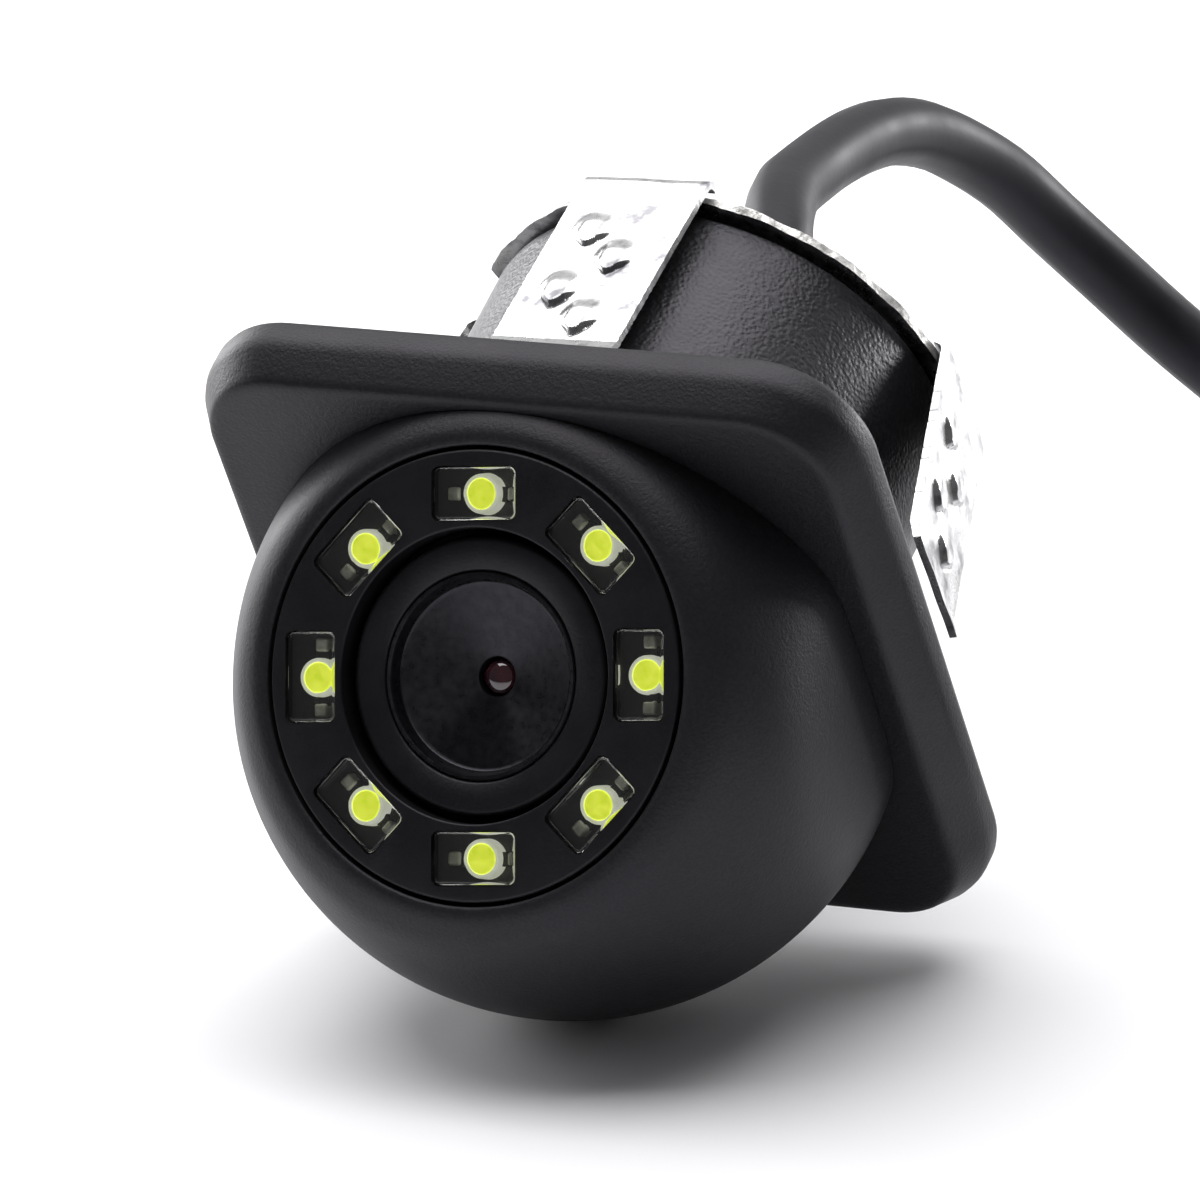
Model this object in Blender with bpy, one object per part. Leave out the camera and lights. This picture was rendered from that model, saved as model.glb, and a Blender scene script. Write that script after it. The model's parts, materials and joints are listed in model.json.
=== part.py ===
"""Flush-mount backup camera with a lit, slanted face, a spring clip and a coiled lead.

The camera lies as it does on a table: its round nose is on the table, its barrel points back and
up, and its lead holds the barrel up. X runs across the camera, -Y is the way that it looks, +Z is up
and the table is at Z = 0. Sizes are in millimetres here, and the meshes are in metres.
"""

import math

import bmesh
import bpy
from mathutils import Matrix, Vector

MM = 0.001
TOUCH = 0.05

# How the camera lies
BARREL_RISE = math.radians(25.0)
REST_PLACE = (0.0, -3.6, 16.06)

# Flange: a rounded square plate that stops on the outside of the bumper
FLANGE_SIDE = 32.4
FLANGE_THICK = 3.3
FLANGE_CORNER_R = 4.9
FLANGE_BEVEL_IN = 1.0
FLANGE_BEVEL_DEEP = 1.75
FLANGE_HOLE_R = 10.35
FLANGE_RECESS_R = 11.35
FLANGE_RECESS_DEEP = 0.5

# Nose: a ball with flat cheeks, cut by the slanted face
NOSE_R = 15.12
NOSE_CENTRE = (0.0, -0.25, 1.67)
NOSE_CHEEK = 13.95
NOSE_BLEND = 45.0
NOSE_WALL = 1.5
FACE_CENTRE = (0.0, 6.91, 8.65)
FACE_SLANT = math.radians(45.0)
FACE_SEAT_R = 10.12
FACE_LIP_R = 10.75
FACE_LIP_SLOPE = math.radians(24.0)
FACE_SEAT_DEEP = 2.9
FACE_SHELF_THICK = 1.0
FACE_SHELF_R = 7.3

# Barrel and rear cover
BARREL_R = 11.25
BARREL_BORE_R = 9.9
BARREL_END = 16.8
SPIGOT_R = 10.25
SPIGOT_BORE_R = 9.2
COVER_R = 10.8
BOSS_R = 4.7
BOSS_END = 19.8
GROMMET_END = 22.2

# Spring clip
CLIP_R = 11.67
CLIP_THICK = 0.4
CLIP_FRONT = 17.3
CLIP_HOLE_R = 5.0
LEG_WIDTH = 6.2
LEG_THICK = 0.35
LEG_TIP = 5.3
LEG_PIVOT_R = 12.1
LEG_ROOT_R = {"top": 12.55, "right": 12.35, "bottom": 12.45, "left": 12.45}
LEG_FLARE = {"top": 2.5, "right": 13.5, "bottom": 9.0, "left": 4.0}
LEG_TURN = {"right": 0.0, "top": 90.0, "left": 180.0, "bottom": 270.0}
BARB_HIGH = 0.6
BARB_LONG = 1.7
BARB_WIDE = 2.1

# Lit ring round the lens
LED_COUNT = 8
LED_CIRCLE_R = 8.0
LED_RING_TURN = math.radians(5.0)
LED_TOP = -0.95
LED_BOARD_TOP = -1.75
LED_BOARD_THICK = 0.6
BEZEL_R = 9.95
BEZEL_BORE_R = 6.5
WINDOW_LONG = 4.1
WINDOW_WIDE = 2.45

# Lens and electronics
HOLDER_R = 6.17
HOLDER_TOP = -0.62
HOLDER_END = -8.0
HOOD_R = 4.6
LENS_R = 0.82
CAMERA_BOARD_TOP = -11.0
CAMERA_BOARD_SIDE = 14.0

# Lead: out of the grommet, back and down to the table, round the coil and into the connector
CORD_R = 1.65
CORD_ROUTE = (
    (0.0, 15.0, 24.73),
    (0.0, 17.3, 25.78),
    (-0.8, 20.6, 27.02),
    (-2.3, 24.1, 27.62),
    (-3.6, 27.8, 27.62),
    (-4.3, 31.4, 27.32),
    (-4.8, 35.2, 27.02),
    (-5.1, 39.0, 26.62),
    (-5.1, 42.4, 26.02),
    (-4.9, 45.7, 24.92),
    (-4.4, 48.6, 23.32),
    (-3.3, 51.4, 21.04),
    (-1.9, 53.5, 18.26),
    (0.2, 55.1, 15.3),
    (3.0, 56.0, 12.25),
    (6.5, 56.4, 9.32),
    (10.4, 56.1, 6.8),
    (14.5, 55.4, 4.78),
    (18.8, 54.4, 3.2),
    (23.2, 53.6, 2.1),
    (27.6, 53.25, 1.7),
    (31.6, 53.2, 1.68),
)
COIL_CENTRE = (44.0, 32.4)
COIL_MEAN_R = 17.5
COIL_HALF_WIDE = 4.95
COIL_LOW = 0.03
COIL_HIGH = 6.2
COIL_ROUND = 1.65
TIE_TURN = math.radians(205.0)
TIE_WIDE = 3.2
TIE_THICK = 0.8
TIE_PROUD = 0.4
TAIL_ROUTE = ((63.15, 17.6, 4.55), (63.15, 15.4, 4.7), (63.15, 13.0, 5.15), (63.15, 10.4, 5.45))
CONNECTOR_PLACE = (63.15, 10.1, 5.5)

COLOURS = {
    "matte_black": ((0.012, 0.012, 0.013, 1.0), 0.62, 0.0),
    "barrel_black": ((0.010, 0.010, 0.011, 1.0), 0.38, 0.0),
    "spring_steel": ((0.72, 0.70, 0.66, 1.0), 0.22, 1.0),
    "satin_black": ((0.010, 0.010, 0.011, 1.0), 0.42, 0.0),
    "clear_plastic": ((0.80, 0.82, 0.80, 1.0), 0.08, 0.0),
    "board_black": ((0.015, 0.016, 0.018, 1.0), 0.45, 0.0),
    "board_green": ((0.02, 0.12, 0.06, 1.0), 0.4, 0.0),
    "led_yellow": ((0.78, 0.82, 0.16, 1.0), 0.4, 0.0),
    "hood_metal": ((0.03, 0.03, 0.032, 1.0), 0.3, 1.0),
    "lens_glass": ((0.05, 0.05, 0.06, 1.0), 0.02, 0.0),
    "rubber": ((0.012, 0.012, 0.012, 1.0), 0.7, 0.0),
    "chip": ((0.05, 0.05, 0.055, 1.0), 0.3, 0.0),
    "white_plastic": ((0.75, 0.74, 0.70, 1.0), 0.45, 0.0),
    "screw_steel": ((0.55, 0.55, 0.56, 1.0), 0.3, 1.0),
    "brass": ((0.75, 0.56, 0.22, 1.0), 0.25, 1.0),
    "cord_jacket": ((0.013, 0.013, 0.014, 1.0), 0.5, 0.0),
}


def clear_scene():
    for obj in list(bpy.data.objects):
        bpy.data.objects.remove(obj, do_unlink=True)


def material(name):
    found = bpy.data.materials.get(name)
    if found:
        return found
    colour, roughness, metallic = COLOURS[name]
    made = bpy.data.materials.new(name)
    made.use_nodes = True
    shader = made.node_tree.nodes["Principled BSDF"]
    shader.inputs["Base Color"].default_value = colour
    shader.inputs["Roughness"].default_value = roughness
    shader.inputs["Metallic"].default_value = metallic
    return made


# Frames. Body: x across, y up the flange, z out of its front. Face: z out of the slanted face.
def body_frame():
    up = math.cos(BARREL_RISE)
    back = math.sin(BARREL_RISE)
    turn = Matrix(((1, 0, 0), (0, -back, -up), (0, up, -back))).to_4x4()
    return Matrix.Translation(REST_PLACE) @ turn


def face_frame():
    return body_frame() @ Matrix.Translation(FACE_CENTRE) @ Matrix.Rotation(-FACE_SLANT, 4, "X")


def ring_frame(turn):
    return face_frame() @ Matrix.Rotation(turn, 4, "Z")


def leg_frame(side):
    return body_frame() @ Matrix.Rotation(math.radians(LEG_TURN[side]), 4, "Z")


def add_object(name, work, frame, slot, smooth=30.0, origin=None):
    """Makes an object of a bmesh that is in millimetres in a frame; origin is a world point in millimetres."""
    bmesh.ops.recalc_face_normals(work, faces=work.faces)
    if work.calc_volume(signed=True) < 0:
        bmesh.ops.reverse_faces(work, faces=work.faces)
    mesh = bpy.data.meshes.new(name)
    work.transform(Matrix.Scale(MM, 4) @ frame)
    if origin is not None:
        work.transform(Matrix.Translation(-origin * MM))
    work.to_mesh(mesh)
    work.free()
    obj = bpy.data.objects.new(name, mesh)
    if origin is not None:
        obj.location = origin * MM
    bpy.context.scene.collection.objects.link(obj)
    mesh.materials.append(material(slot))
    mesh.shade_smooth()
    mesh.set_sharp_from_angle(angle=math.radians(smooth))
    return obj


def arc(centre, radius, start, end, steps):
    """Points on an arc in the plane of a profile; angles in degrees."""
    points = []
    for i in range(steps + 1):
        angle = math.radians(start + (end - start) * i / steps)
        points.append((centre[0] + radius * math.cos(angle), centre[1] + radius * math.sin(angle)))
    return points


def lathe_mesh(profile, segments=48, centre=(0.0, 0.0)):
    """A closed solid of revolution about z from an outline of (radius, z); points at radius 0 are poles."""
    work = bmesh.new()
    rings = []
    for radius, z in profile:
        if radius == 0:
            rings.append([work.verts.new((centre[0], centre[1], z))])
            continue
        ring = []
        for i in range(segments):
            angle = 2 * math.pi * i / segments
            place = (centre[0] + radius * math.cos(angle), centre[1] + radius * math.sin(angle), z)
            ring.append(work.verts.new(place))
        rings.append(ring)
    closed = len(rings[0]) > 1 or len(rings[-1]) > 1
    pairs = list(zip(rings, rings[1:]))
    if closed:
        pairs.append((rings[-1], rings[0]))
    for low, high in pairs:
        for i in range(segments):
            j = (i + 1) % segments
            if len(low) == 1 and len(high) > 1:
                work.faces.new((low[0], high[j], high[i]))
            elif len(high) == 1 and len(low) > 1:
                work.faces.new((low[i], low[j], high[0]))
            elif len(low) > 1:
                work.faces.new((low[i], low[j], high[j], high[i]))
    return work


def prism_mesh(outline, low, high):
    """A prism over an outline of (x, y) points."""
    work = bmesh.new()
    bottom = [work.verts.new((x, y, low)) for x, y in outline]
    top = [work.verts.new((x, y, high)) for x, y in outline]
    work.faces.new(bottom[::-1])
    work.faces.new(top)
    for i in range(len(outline)):
        j = (i + 1) % len(outline)
        work.faces.new((bottom[i], bottom[j], top[j], top[i]))
    return work


def loft_mesh(outlines):
    """A solid through outlines of (x, y, z) points that all have the same number of points."""
    work = bmesh.new()
    rings = [[work.verts.new(point) for point in outline] for outline in outlines]
    work.faces.new(rings[0][::-1])
    work.faces.new(rings[-1])
    for low, high in zip(rings, rings[1:]):
        for i in range(len(low)):
            j = (i + 1) % len(low)
            work.faces.new((low[i], low[j], high[j], high[i]))
    return work


def rounded_rectangle(width, height, radius, steps=4, centre=(0.0, 0.0)):
    points = []
    half_w = width / 2 - radius
    half_h = height / 2 - radius
    corners = ((half_w, half_h, 0), (-half_w, half_h, 90), (-half_w, -half_h, 180), (half_w, -half_h, 270))
    for x, y, start in corners:
        points += arc((centre[0] + x, centre[1] + y), radius, start, start + 90, steps)
    return points


def helper(name, work, frame):
    obj = add_object(name, work, frame, "matte_black")
    obj.hide_render = True
    obj.display_type = "WIRE"
    return obj


def combine(obj, others, operation):
    """Applies one Boolean for each other object, then removes those objects."""
    for other in others:
        modifier = obj.modifiers.new(operation.lower(), "BOOLEAN")
        modifier.operation = operation
        modifier.object = other
    graph = bpy.context.evaluated_depsgraph_get()
    result = bpy.data.meshes.new_from_object(obj.evaluated_get(graph))
    obj.modifiers.clear()
    obj.data = result
    for other in others:
        bpy.data.objects.remove(other, do_unlink=True)
    result.shade_smooth()
    result.set_sharp_from_angle(angle=math.radians(30.0))
    return obj


# Nose
def ball_mesh(radius, cheek, face_limit=None, around=60, down=30):
    """A ball round the nose's centre whose pole points out of the face, with flat cheeks blended in."""
    normal = Vector((0, math.sin(FACE_SLANT), math.cos(FACE_SLANT)))
    side = Vector((1, 0, 0))
    third = normal.cross(side)
    work = bmesh.new()
    rings = []
    for i in range(down + 1):
        polar = math.pi * i / down
        ring = []
        for j in range(1 if i in (0, down) else around):
            turn = 2 * math.pi * j / around
            way = normal * math.cos(polar)
            way += (side * math.cos(turn) + third * math.sin(turn)) * math.sin(polar)
            reach = [radius]
            if abs(way.x) > 1e-4:
                reach.append(cheek / abs(way.x))
            blended = sum(r**-NOSE_BLEND for r in reach) ** (-1 / NOSE_BLEND)
            if face_limit is not None and way.dot(normal) > 1e-4:
                blended = min(blended, face_limit / way.dot(normal))
            ring.append(work.verts.new(Vector(NOSE_CENTRE) + way * blended))
        rings.append(ring)
    for low, high in zip(rings, rings[1:]):
        for j in range(around):
            k = (j + 1) % around
            if len(low) == 1:
                work.faces.new((low[0], high[j], high[k]))
            elif len(high) == 1:
                work.faces.new((low[j], high[0], low[k]))
            else:
                work.faces.new((low[j], high[j], high[k], low[k]))
    return work


def face_distance():
    """How far the face's plane lies from the nose's centre."""
    across = FACE_CENTRE[1] - NOSE_CENTRE[1]
    out = FACE_CENTRE[2] - NOSE_CENTRE[2]
    return across * math.sin(FACE_SLANT) + out * math.cos(FACE_SLANT)


def make_nose():
    nose = add_object("nose_housing", ball_mesh(NOSE_R, NOSE_CHEEK), body_frame(), "matte_black")
    edge = FACE_SEAT_R
    face_cut = [(0.0, 12.0), (0.0, -FACE_SEAT_DEEP - 3.0), (FACE_SHELF_R, -FACE_SEAT_DEEP - 3.0)]
    face_cut += [(FACE_SHELF_R, -FACE_SEAT_DEEP), (edge, -FACE_SEAT_DEEP), (edge, 0.0)]
    face_cut += [(FACE_LIP_R - 0.15, 0.0), (FACE_LIP_R + 0.15, -0.06)]
    fall = math.tan(FACE_LIP_SLOPE)
    face_cut += [(FACE_LIP_R + 12.0, -12.0 * fall), (FACE_LIP_R + 12.0, 12.0)]
    face_tool = helper("face_cut", lathe_mesh(face_cut, 60), face_frame())
    base_tool = helper("base_cut", prism_mesh(rounded_rectangle(60, 60, 5), -40.0, TOUCH), body_frame())
    limit = face_distance() - FACE_SEAT_DEEP - FACE_SHELF_THICK
    hollow = ball_mesh(NOSE_R - NOSE_WALL, NOSE_CHEEK - NOSE_WALL, limit, 36, 18)
    hollow_tool = helper("hollow_cut", hollow, body_frame())
    combine(nose, [face_tool, hollow_tool, base_tool], "DIFFERENCE")


# Flange, barrel and rear cover
def make_flange():
    levels = [(0.45, -FLANGE_THICK), (0.12, -FLANGE_THICK + 0.14), (0.0, -FLANGE_THICK + 0.45)]
    levels += [(0.0, -FLANGE_BEVEL_DEEP - 0.15), (0.08, -FLANGE_BEVEL_DEEP + 0.15)]
    levels += [(FLANGE_BEVEL_IN - 0.08, -0.12), (FLANGE_BEVEL_IN + 0.08, 0.0)]
    outlines = []
    for inset, level in levels:
        side = FLANGE_SIDE - 2 * inset
        outline = rounded_rectangle(side, side, FLANGE_CORNER_R - inset, 10)
        outlines.append([(x, y, level) for x, y in outline])
    flange = add_object("flange", loft_mesh(outlines), body_frame(), "matte_black")
    shelf = -FLANGE_THICK + FLANGE_RECESS_DEEP
    hole = [(0.0, -20.0), (FLANGE_RECESS_R, -20.0), (FLANGE_RECESS_R, shelf), (FLANGE_HOLE_R, shelf)]
    hole += [(FLANGE_HOLE_R, 20.0), (0.0, 20.0)]
    combine(flange, [helper("flange_cut", lathe_mesh(hole, 64), body_frame())], "DIFFERENCE")


def make_barrel():
    front = -FLANGE_THICK + FLANGE_RECESS_DEEP - TOUCH
    profile = [(SPIGOT_BORE_R, -0.5), (SPIGOT_R, -0.5), (SPIGOT_R, front), (BARREL_R, front)]
    profile += [(BARREL_R, -BARREL_END + 0.3), (BARREL_R - 0.3, -BARREL_END)]
    profile += [(BARREL_BORE_R, -BARREL_END), (BARREL_BORE_R, front - 1.5), (SPIGOT_BORE_R, front - 1.5)]
    add_object("barrel", lathe_mesh(profile, 56), body_frame(), "barrel_black")


def make_rear_cover():
    outer = -BARREL_END - TOUCH
    back = -CLIP_FRONT + TOUCH
    plug_r = BARREL_BORE_R - 0.1
    bore = CORD_R + 0.85
    profile = [(bore, -BOSS_END), (BOSS_R, -BOSS_END), (BOSS_R, back), (COVER_R, back), (COVER_R, outer)]
    profile += [(plug_r, outer), (plug_r, -14.6), (plug_r - 1.2, -14.6), (plug_r - 1.2, -15.8)]
    profile += [(bore, -15.8)]
    add_object("rear_cover", lathe_mesh(profile, 40), body_frame(), "barrel_black")


def make_rear_nut():
    low = -CLIP_FRONT - CLIP_THICK - TOUCH
    outline = rounded_rectangle(15.0, 15.0, 4.2, 3)
    nut = add_object("rear_nut", prism_mesh(outline, low - 1.6, low), body_frame(), "barrel_black")
    hole = [(0.0, -30.0), (BOSS_R + 0.08, -30.0), (BOSS_R + 0.08, 0.0), (0.0, 0.0)]
    combine(nut, [helper("nut_cut", lathe_mesh(hole, 48), body_frame())], "DIFFERENCE")


def make_gland():
    """Rubber grommet in the rear cover, tapered where the lead leaves it."""
    bore = CORD_R + 0.06
    profile = [(bore, -13.2), (bore + 1.9, -13.2), (bore + 1.9, -14.3), (bore + 0.72, -14.3)]
    profile += [(bore + 0.72, -BOSS_END - TOUCH), (bore + 1.3, -BOSS_END - TOUCH)]
    profile += [(bore + 1.3, -BOSS_END - 0.7), (bore + 0.3, -GROMMET_END), (bore, -GROMMET_END)]
    add_object("cord_grommet", lathe_mesh(profile, 32), body_frame(), "rubber")


# Spring clip
def make_clip_ring():
    """A washer with four tabs that the legs fold from."""
    low = -CLIP_FRONT - CLIP_THICK
    half = LEG_WIDTH / 2
    rim = math.degrees(math.asin(half / CLIP_R))
    reach = CLIP_R + 0.05
    edge = []
    for turn in (0.0, 90.0, 180.0, 270.0):
        spin = Matrix.Rotation(math.radians(turn), 2)
        side = [(reach, -half), (reach, 0.0), (reach, half)] + arc((0.0, 0.0), CLIP_R, rim, 90.0 - rim, 10)
        edge += [tuple(spin @ Vector(point)) for point in side]
    hole = []
    for x, y in edge:
        shrink = CLIP_HOLE_R / math.hypot(x, y)
        hole.append((x * shrink, y * shrink))
    rings = []
    work = bmesh.new()
    for outline, z in ((hole, low), (edge, low), (edge, -CLIP_FRONT), (hole, -CLIP_FRONT)):
        rings.append([work.verts.new((x, y, z)) for x, y in outline])
    for low_ring, high_ring in zip(rings, rings[1:] + rings[:1]):
        for i in range(len(edge)):
            j = (i + 1) % len(edge)
            work.faces.new((low_ring[i], low_ring[j], high_ring[j], high_ring[i]))
    add_object("clip_ring", work, body_frame(), "spring_steel")


def leg_profile(side):
    """The leg's edge in (radius, z): out from the ring, round its bend and forward along the barrel."""
    flare = math.radians(LEG_FLARE[side])
    low = -CLIP_FRONT - CLIP_THICK - LEG_THICK - 0.07
    root = LEG_ROOT_R[side]
    bend = 0.85
    centre = (root - bend, low + bend)
    outer = arc(centre, bend, 265, 360 - LEG_FLARE[side], 6)
    inner = arc(centre, bend - LEG_THICK, 265, 360 - LEG_FLARE[side], 6)
    along = Vector((math.sin(flare), math.cos(flare)))
    away = Vector((math.cos(flare), -math.sin(flare)))
    start = Vector(outer[-1])
    length = (-LEG_TIP - start.y) / math.cos(flare)
    knee = start + along * (length - 1.2)
    tip = knee + along * 1.15 + away * 0.3
    outer += [tuple(knee), tuple(tip)]
    back = [tuple(tip - away * LEG_THICK), tuple(knee - away * LEG_THICK)]
    return outer + back + inner[::-1], start, along, away


def barb_mesh(start, along, away, distance, offset):
    """A pressed tooth: a ramp from the rear that ends in a steep V."""
    work = bmesh.new()
    half = BARB_WIDE / 2
    shape = []
    base = start + along * distance
    for step, side, high in (
        (0.0, 0.0, -0.1),
        (0.9, half, -0.1),
        (1.25, half * 0.55, -0.1),
        (BARB_LONG, 0.0, -0.1),
        (1.25, -half * 0.55, -0.1),
        (0.9, -half, -0.1),
        (1.15, 0.0, BARB_HIGH),
    ):
        spot = base + along * step + away * high
        shape.append(work.verts.new((spot.x, offset + side, spot.y)))
    floor = shape[:6]
    work.faces.new(floor)
    for i in range(6):
        work.faces.new((floor[i], floor[(i + 1) % 6], shape[6]))
    return work


def make_leg(side):
    outline, start, along, away = leg_profile(side)
    half = LEG_WIDTH / 2
    work = bmesh.new()
    near = [work.verts.new((r, -half, z)) for r, z in outline]
    far = [work.verts.new((r, half, z)) for r, z in outline]
    work.faces.new(near)
    work.faces.new(far[::-1])
    for i in range(len(outline)):
        j = (i + 1) % len(outline)
        work.faces.new((near[i], far[i], far[j], near[j]))
    pivot = leg_frame(side) @ Vector((LEG_PIVOT_R - 0.2, 0.0, -CLIP_FRONT - CLIP_THICK / 2))
    leg = add_object("clip_leg_" + side, work, leg_frame(side), "spring_steel", 30.0, pivot)
    barbs = []
    for i, (distance, offset) in enumerate(((1.5, 1.35), (3.0, -1.15), (5.0, 1.35), (6.5, -1.15))):
        mesh = barb_mesh(start, along, away, distance, offset)
        barbs.append(helper("barb_%d" % i, mesh, leg_frame(side)))
    combine(leg, barbs, "UNION")


# Lit ring
def make_bezel():
    wall = 0.27
    profile = [(BEZEL_BORE_R, 0.0), (BEZEL_BORE_R, -1.6), (BEZEL_BORE_R + wall, -1.6)]
    profile += [(BEZEL_BORE_R + wall, -0.45), (BEZEL_R - wall, -0.45), (BEZEL_R - wall, -1.6)]
    profile += [(BEZEL_R, -1.6), (BEZEL_R, -0.15), (BEZEL_R - 0.15, 0.0)]
    bezel = add_object("led_bezel", lathe_mesh(profile, 60), face_frame(), "satin_black")
    cutters = []
    for i in range(LED_COUNT):
        outline = rounded_rectangle(WINDOW_WIDE, WINDOW_LONG, 0.35, 3, (LED_CIRCLE_R, 0.0))
        turn = LED_RING_TURN + i * 2 * math.pi / LED_COUNT
        cutters.append(helper("window_%d" % i, prism_mesh(outline, -0.8, 0.8), ring_frame(turn)))
    combine(bezel, cutters, "DIFFERENCE")


def make_window_ring():
    profile = [(6.9, -0.8), (9.42, -0.8), (9.42, -0.52), (6.9, -0.52)]
    ring = add_object("led_window_ring", lathe_mesh(profile, 48), face_frame(), "clear_plastic")
    pads = []
    for i in range(LED_COUNT):
        outline = rounded_rectangle(WINDOW_WIDE - 0.2, WINDOW_LONG - 0.2, 0.3, 3, (LED_CIRCLE_R, 0.0))
        turn = LED_RING_TURN + i * 2 * math.pi / LED_COUNT
        pads.append(helper("pad_%d" % i, prism_mesh(outline, -0.7, -0.15), ring_frame(turn)))
    combine(ring, pads, "UNION")


def make_led_board():
    low = LED_BOARD_TOP - LED_BOARD_THICK
    profile = [(6.75, low), (9.75, low), (9.75, LED_BOARD_TOP), (6.75, LED_BOARD_TOP)]
    add_object("led_board", lathe_mesh(profile, 40), face_frame(), "board_black")
    high = low - TOUCH
    seat = -FACE_SEAT_DEEP + TOUCH
    gasket = [(7.6, seat), (9.2, seat), (9.2, high), (7.6, high)]
    add_object("face_gasket", lathe_mesh(gasket, 40), face_frame(), "rubber")


def make_led(number):
    turn = LED_RING_TURN + math.pi / 2 - number * 2 * math.pi / LED_COUNT
    low = LED_BOARD_TOP + TOUCH
    slab = prism_mesh(rounded_rectangle(0.8, 3.2, 0.1, 2, (LED_CIRCLE_R, 0.0)), low, low + 0.45)
    led = add_object("led_%d" % (number + 1), slab, ring_frame(turn), "led_yellow")
    body = [(0.0, low), (0.8, low), (0.8, LED_TOP - 0.1), (0.65, LED_TOP), (0.0, LED_TOP)]
    disc = helper("led_disc", lathe_mesh(body, 20, (LED_CIRCLE_R, 0.0)), ring_frame(turn))
    combine(led, [disc], "UNION")


# Lens
def make_lens_holder():
    profile = [(HOOD_R + 0.08, HOLDER_TOP - 0.1), (HOOD_R + 0.3, HOLDER_TOP), (HOLDER_R - 0.3, HOLDER_TOP)]
    profile += [(HOLDER_R, HOLDER_TOP - 0.3), (HOLDER_R, HOLDER_END), (HOOD_R + 0.08, HOLDER_END)]
    add_object("lens_holder", lathe_mesh(profile, 44), face_frame(), "satin_black")


def make_lens_hood():
    profile = [(HOOD_R, HOLDER_TOP - 0.1), (HOOD_R, -3.4), (LENS_R + 0.1, -3.4), (LENS_R + 0.1, -2.45)]
    profile += [(4.2, -1.3), (4.25, -0.85), (4.4, HOLDER_TOP - 0.04)]
    add_object("lens_hood", lathe_mesh(profile, 44), face_frame(), "hood_metal")


def make_lens_parts():
    dome = [(0.0, -2.42), (0.4, -2.47), (0.7, -2.6), (LENS_R, -2.75), (LENS_R, -3.3), (0.0, -3.3)]
    add_object("lens_front_glass", lathe_mesh(dome, 24), face_frame(), "lens_glass")
    outer = HOOD_R - TOUCH
    body = [(outer, -3.45), (outer, -7.9), (2.6, -7.9), (2.6, -4.4), (0.6, -4.4), (0.6, -3.45)]
    add_object("lens_barrel", lathe_mesh(body, 40), face_frame(), "satin_black")
    rear = [(0.0, -5.4), (1.4, -5.5), (2.5, -5.9), (2.5, -7.2), (0.0, -7.4)]
    add_object("lens_rear_glass", lathe_mesh(rear, 32), face_frame(), "lens_glass")
    seal = arc((6.74, -3.4), 0.48, 0, 315, 7)
    add_object("lens_seal", lathe_mesh(seal, 36), face_frame(), "rubber")


def make_lens_mount():
    """Square plastic box that holds the lens over the sensor, open at both ends."""
    top = HOLDER_END - TOUCH
    low = CAMERA_BOARD_TOP + TOUCH
    outline = rounded_rectangle(12.4, 12.4, 1.2, 3)
    mount = add_object("lens_mount", prism_mesh(outline, low, top), face_frame(), "satin_black")
    bore = [(0.0, top + 1.0), (3.4, top + 1.0), (3.4, top - 0.6), (4.0, top - 0.6), (4.0, low - 1.0)]
    bore += [(0.0, low - 1.0)]
    combine(mount, [helper("mount_cut", lathe_mesh(bore, 40), face_frame())], "DIFFERENCE")
    square = rounded_rectangle(5.2, 5.2, 0.2, 2)
    glass = prism_mesh(square, top - 1.1, top - 0.65)
    add_object("ir_filter", glass, face_frame(), "lens_glass")


def make_camera_board():
    top = CAMERA_BOARD_TOP
    low = top - 1.0
    outline = rounded_rectangle(CAMERA_BOARD_SIDE, CAMERA_BOARD_SIDE, 1.5, 4)
    add_object("camera_board", prism_mesh(outline, low, top), face_frame(), "board_green")
    chip = prism_mesh(rounded_rectangle(4.8, 4.2, 0.15, 2), top + TOUCH, top + 0.9)
    add_object("image_sensor", chip, face_frame(), "chip")
    processor = prism_mesh(rounded_rectangle(4.0, 4.0, 0.2, 2, (3.4, 2.6)), low - 0.95, low - TOUCH)
    add_object("video_chip", processor, face_frame(), "chip")
    socket = prism_mesh(rounded_rectangle(6.4, 3.0, 0.3, 2, (-1.8, -2.6)), low - 3.4, low - TOUCH)
    add_object("board_socket", socket, face_frame(), "white_plastic")
    for number, (x, y) in enumerate(((-4.9, 5.0), (4.9, -5.0))):
        high = low - TOUCH
        head = [(0.0, high), (0.85, high), (0.85, high - 0.6), (0.0, high - 0.6)]
        screw = lathe_mesh(head, 16, (x, y))
        add_object("mount_screw_%d" % (number + 1), screw, face_frame(), "screw_steel")


# Lead, coil, tie and connector
def smooth_route(points, spacing):
    """Points at an even spacing on a smooth curve through the route's own points."""
    fine = []
    for i in range(len(points) - 1):
        before = Vector(points[max(i - 1, 0)])
        here = Vector(points[i])
        there = Vector(points[i + 1])
        after = Vector(points[min(i + 2, len(points) - 1)])
        for step in range(20):
            t = step / 20
            fine.append(
                0.5
                * (
                    2 * here
                    + (there - before) * t
                    + (2 * before - 5 * here + 4 * there - after) * t**2
                    + (3 * here - before - 3 * there + after) * t**3
                )
            )
    fine.append(Vector(points[-1]))
    total = sum((b - a).length for a, b in zip(fine, fine[1:]))
    count = round(total / spacing)
    even = [fine[0]]
    travelled = 0.0
    for a, b in zip(fine, fine[1:]):
        step = (b - a).length
        while len(even) < count and travelled + step >= total * len(even) / count:
            part = (total * len(even) / count - travelled) / step
            even.append(a.lerp(b, part))
        travelled += step
    even.append(fine[-1])
    return even


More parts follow.
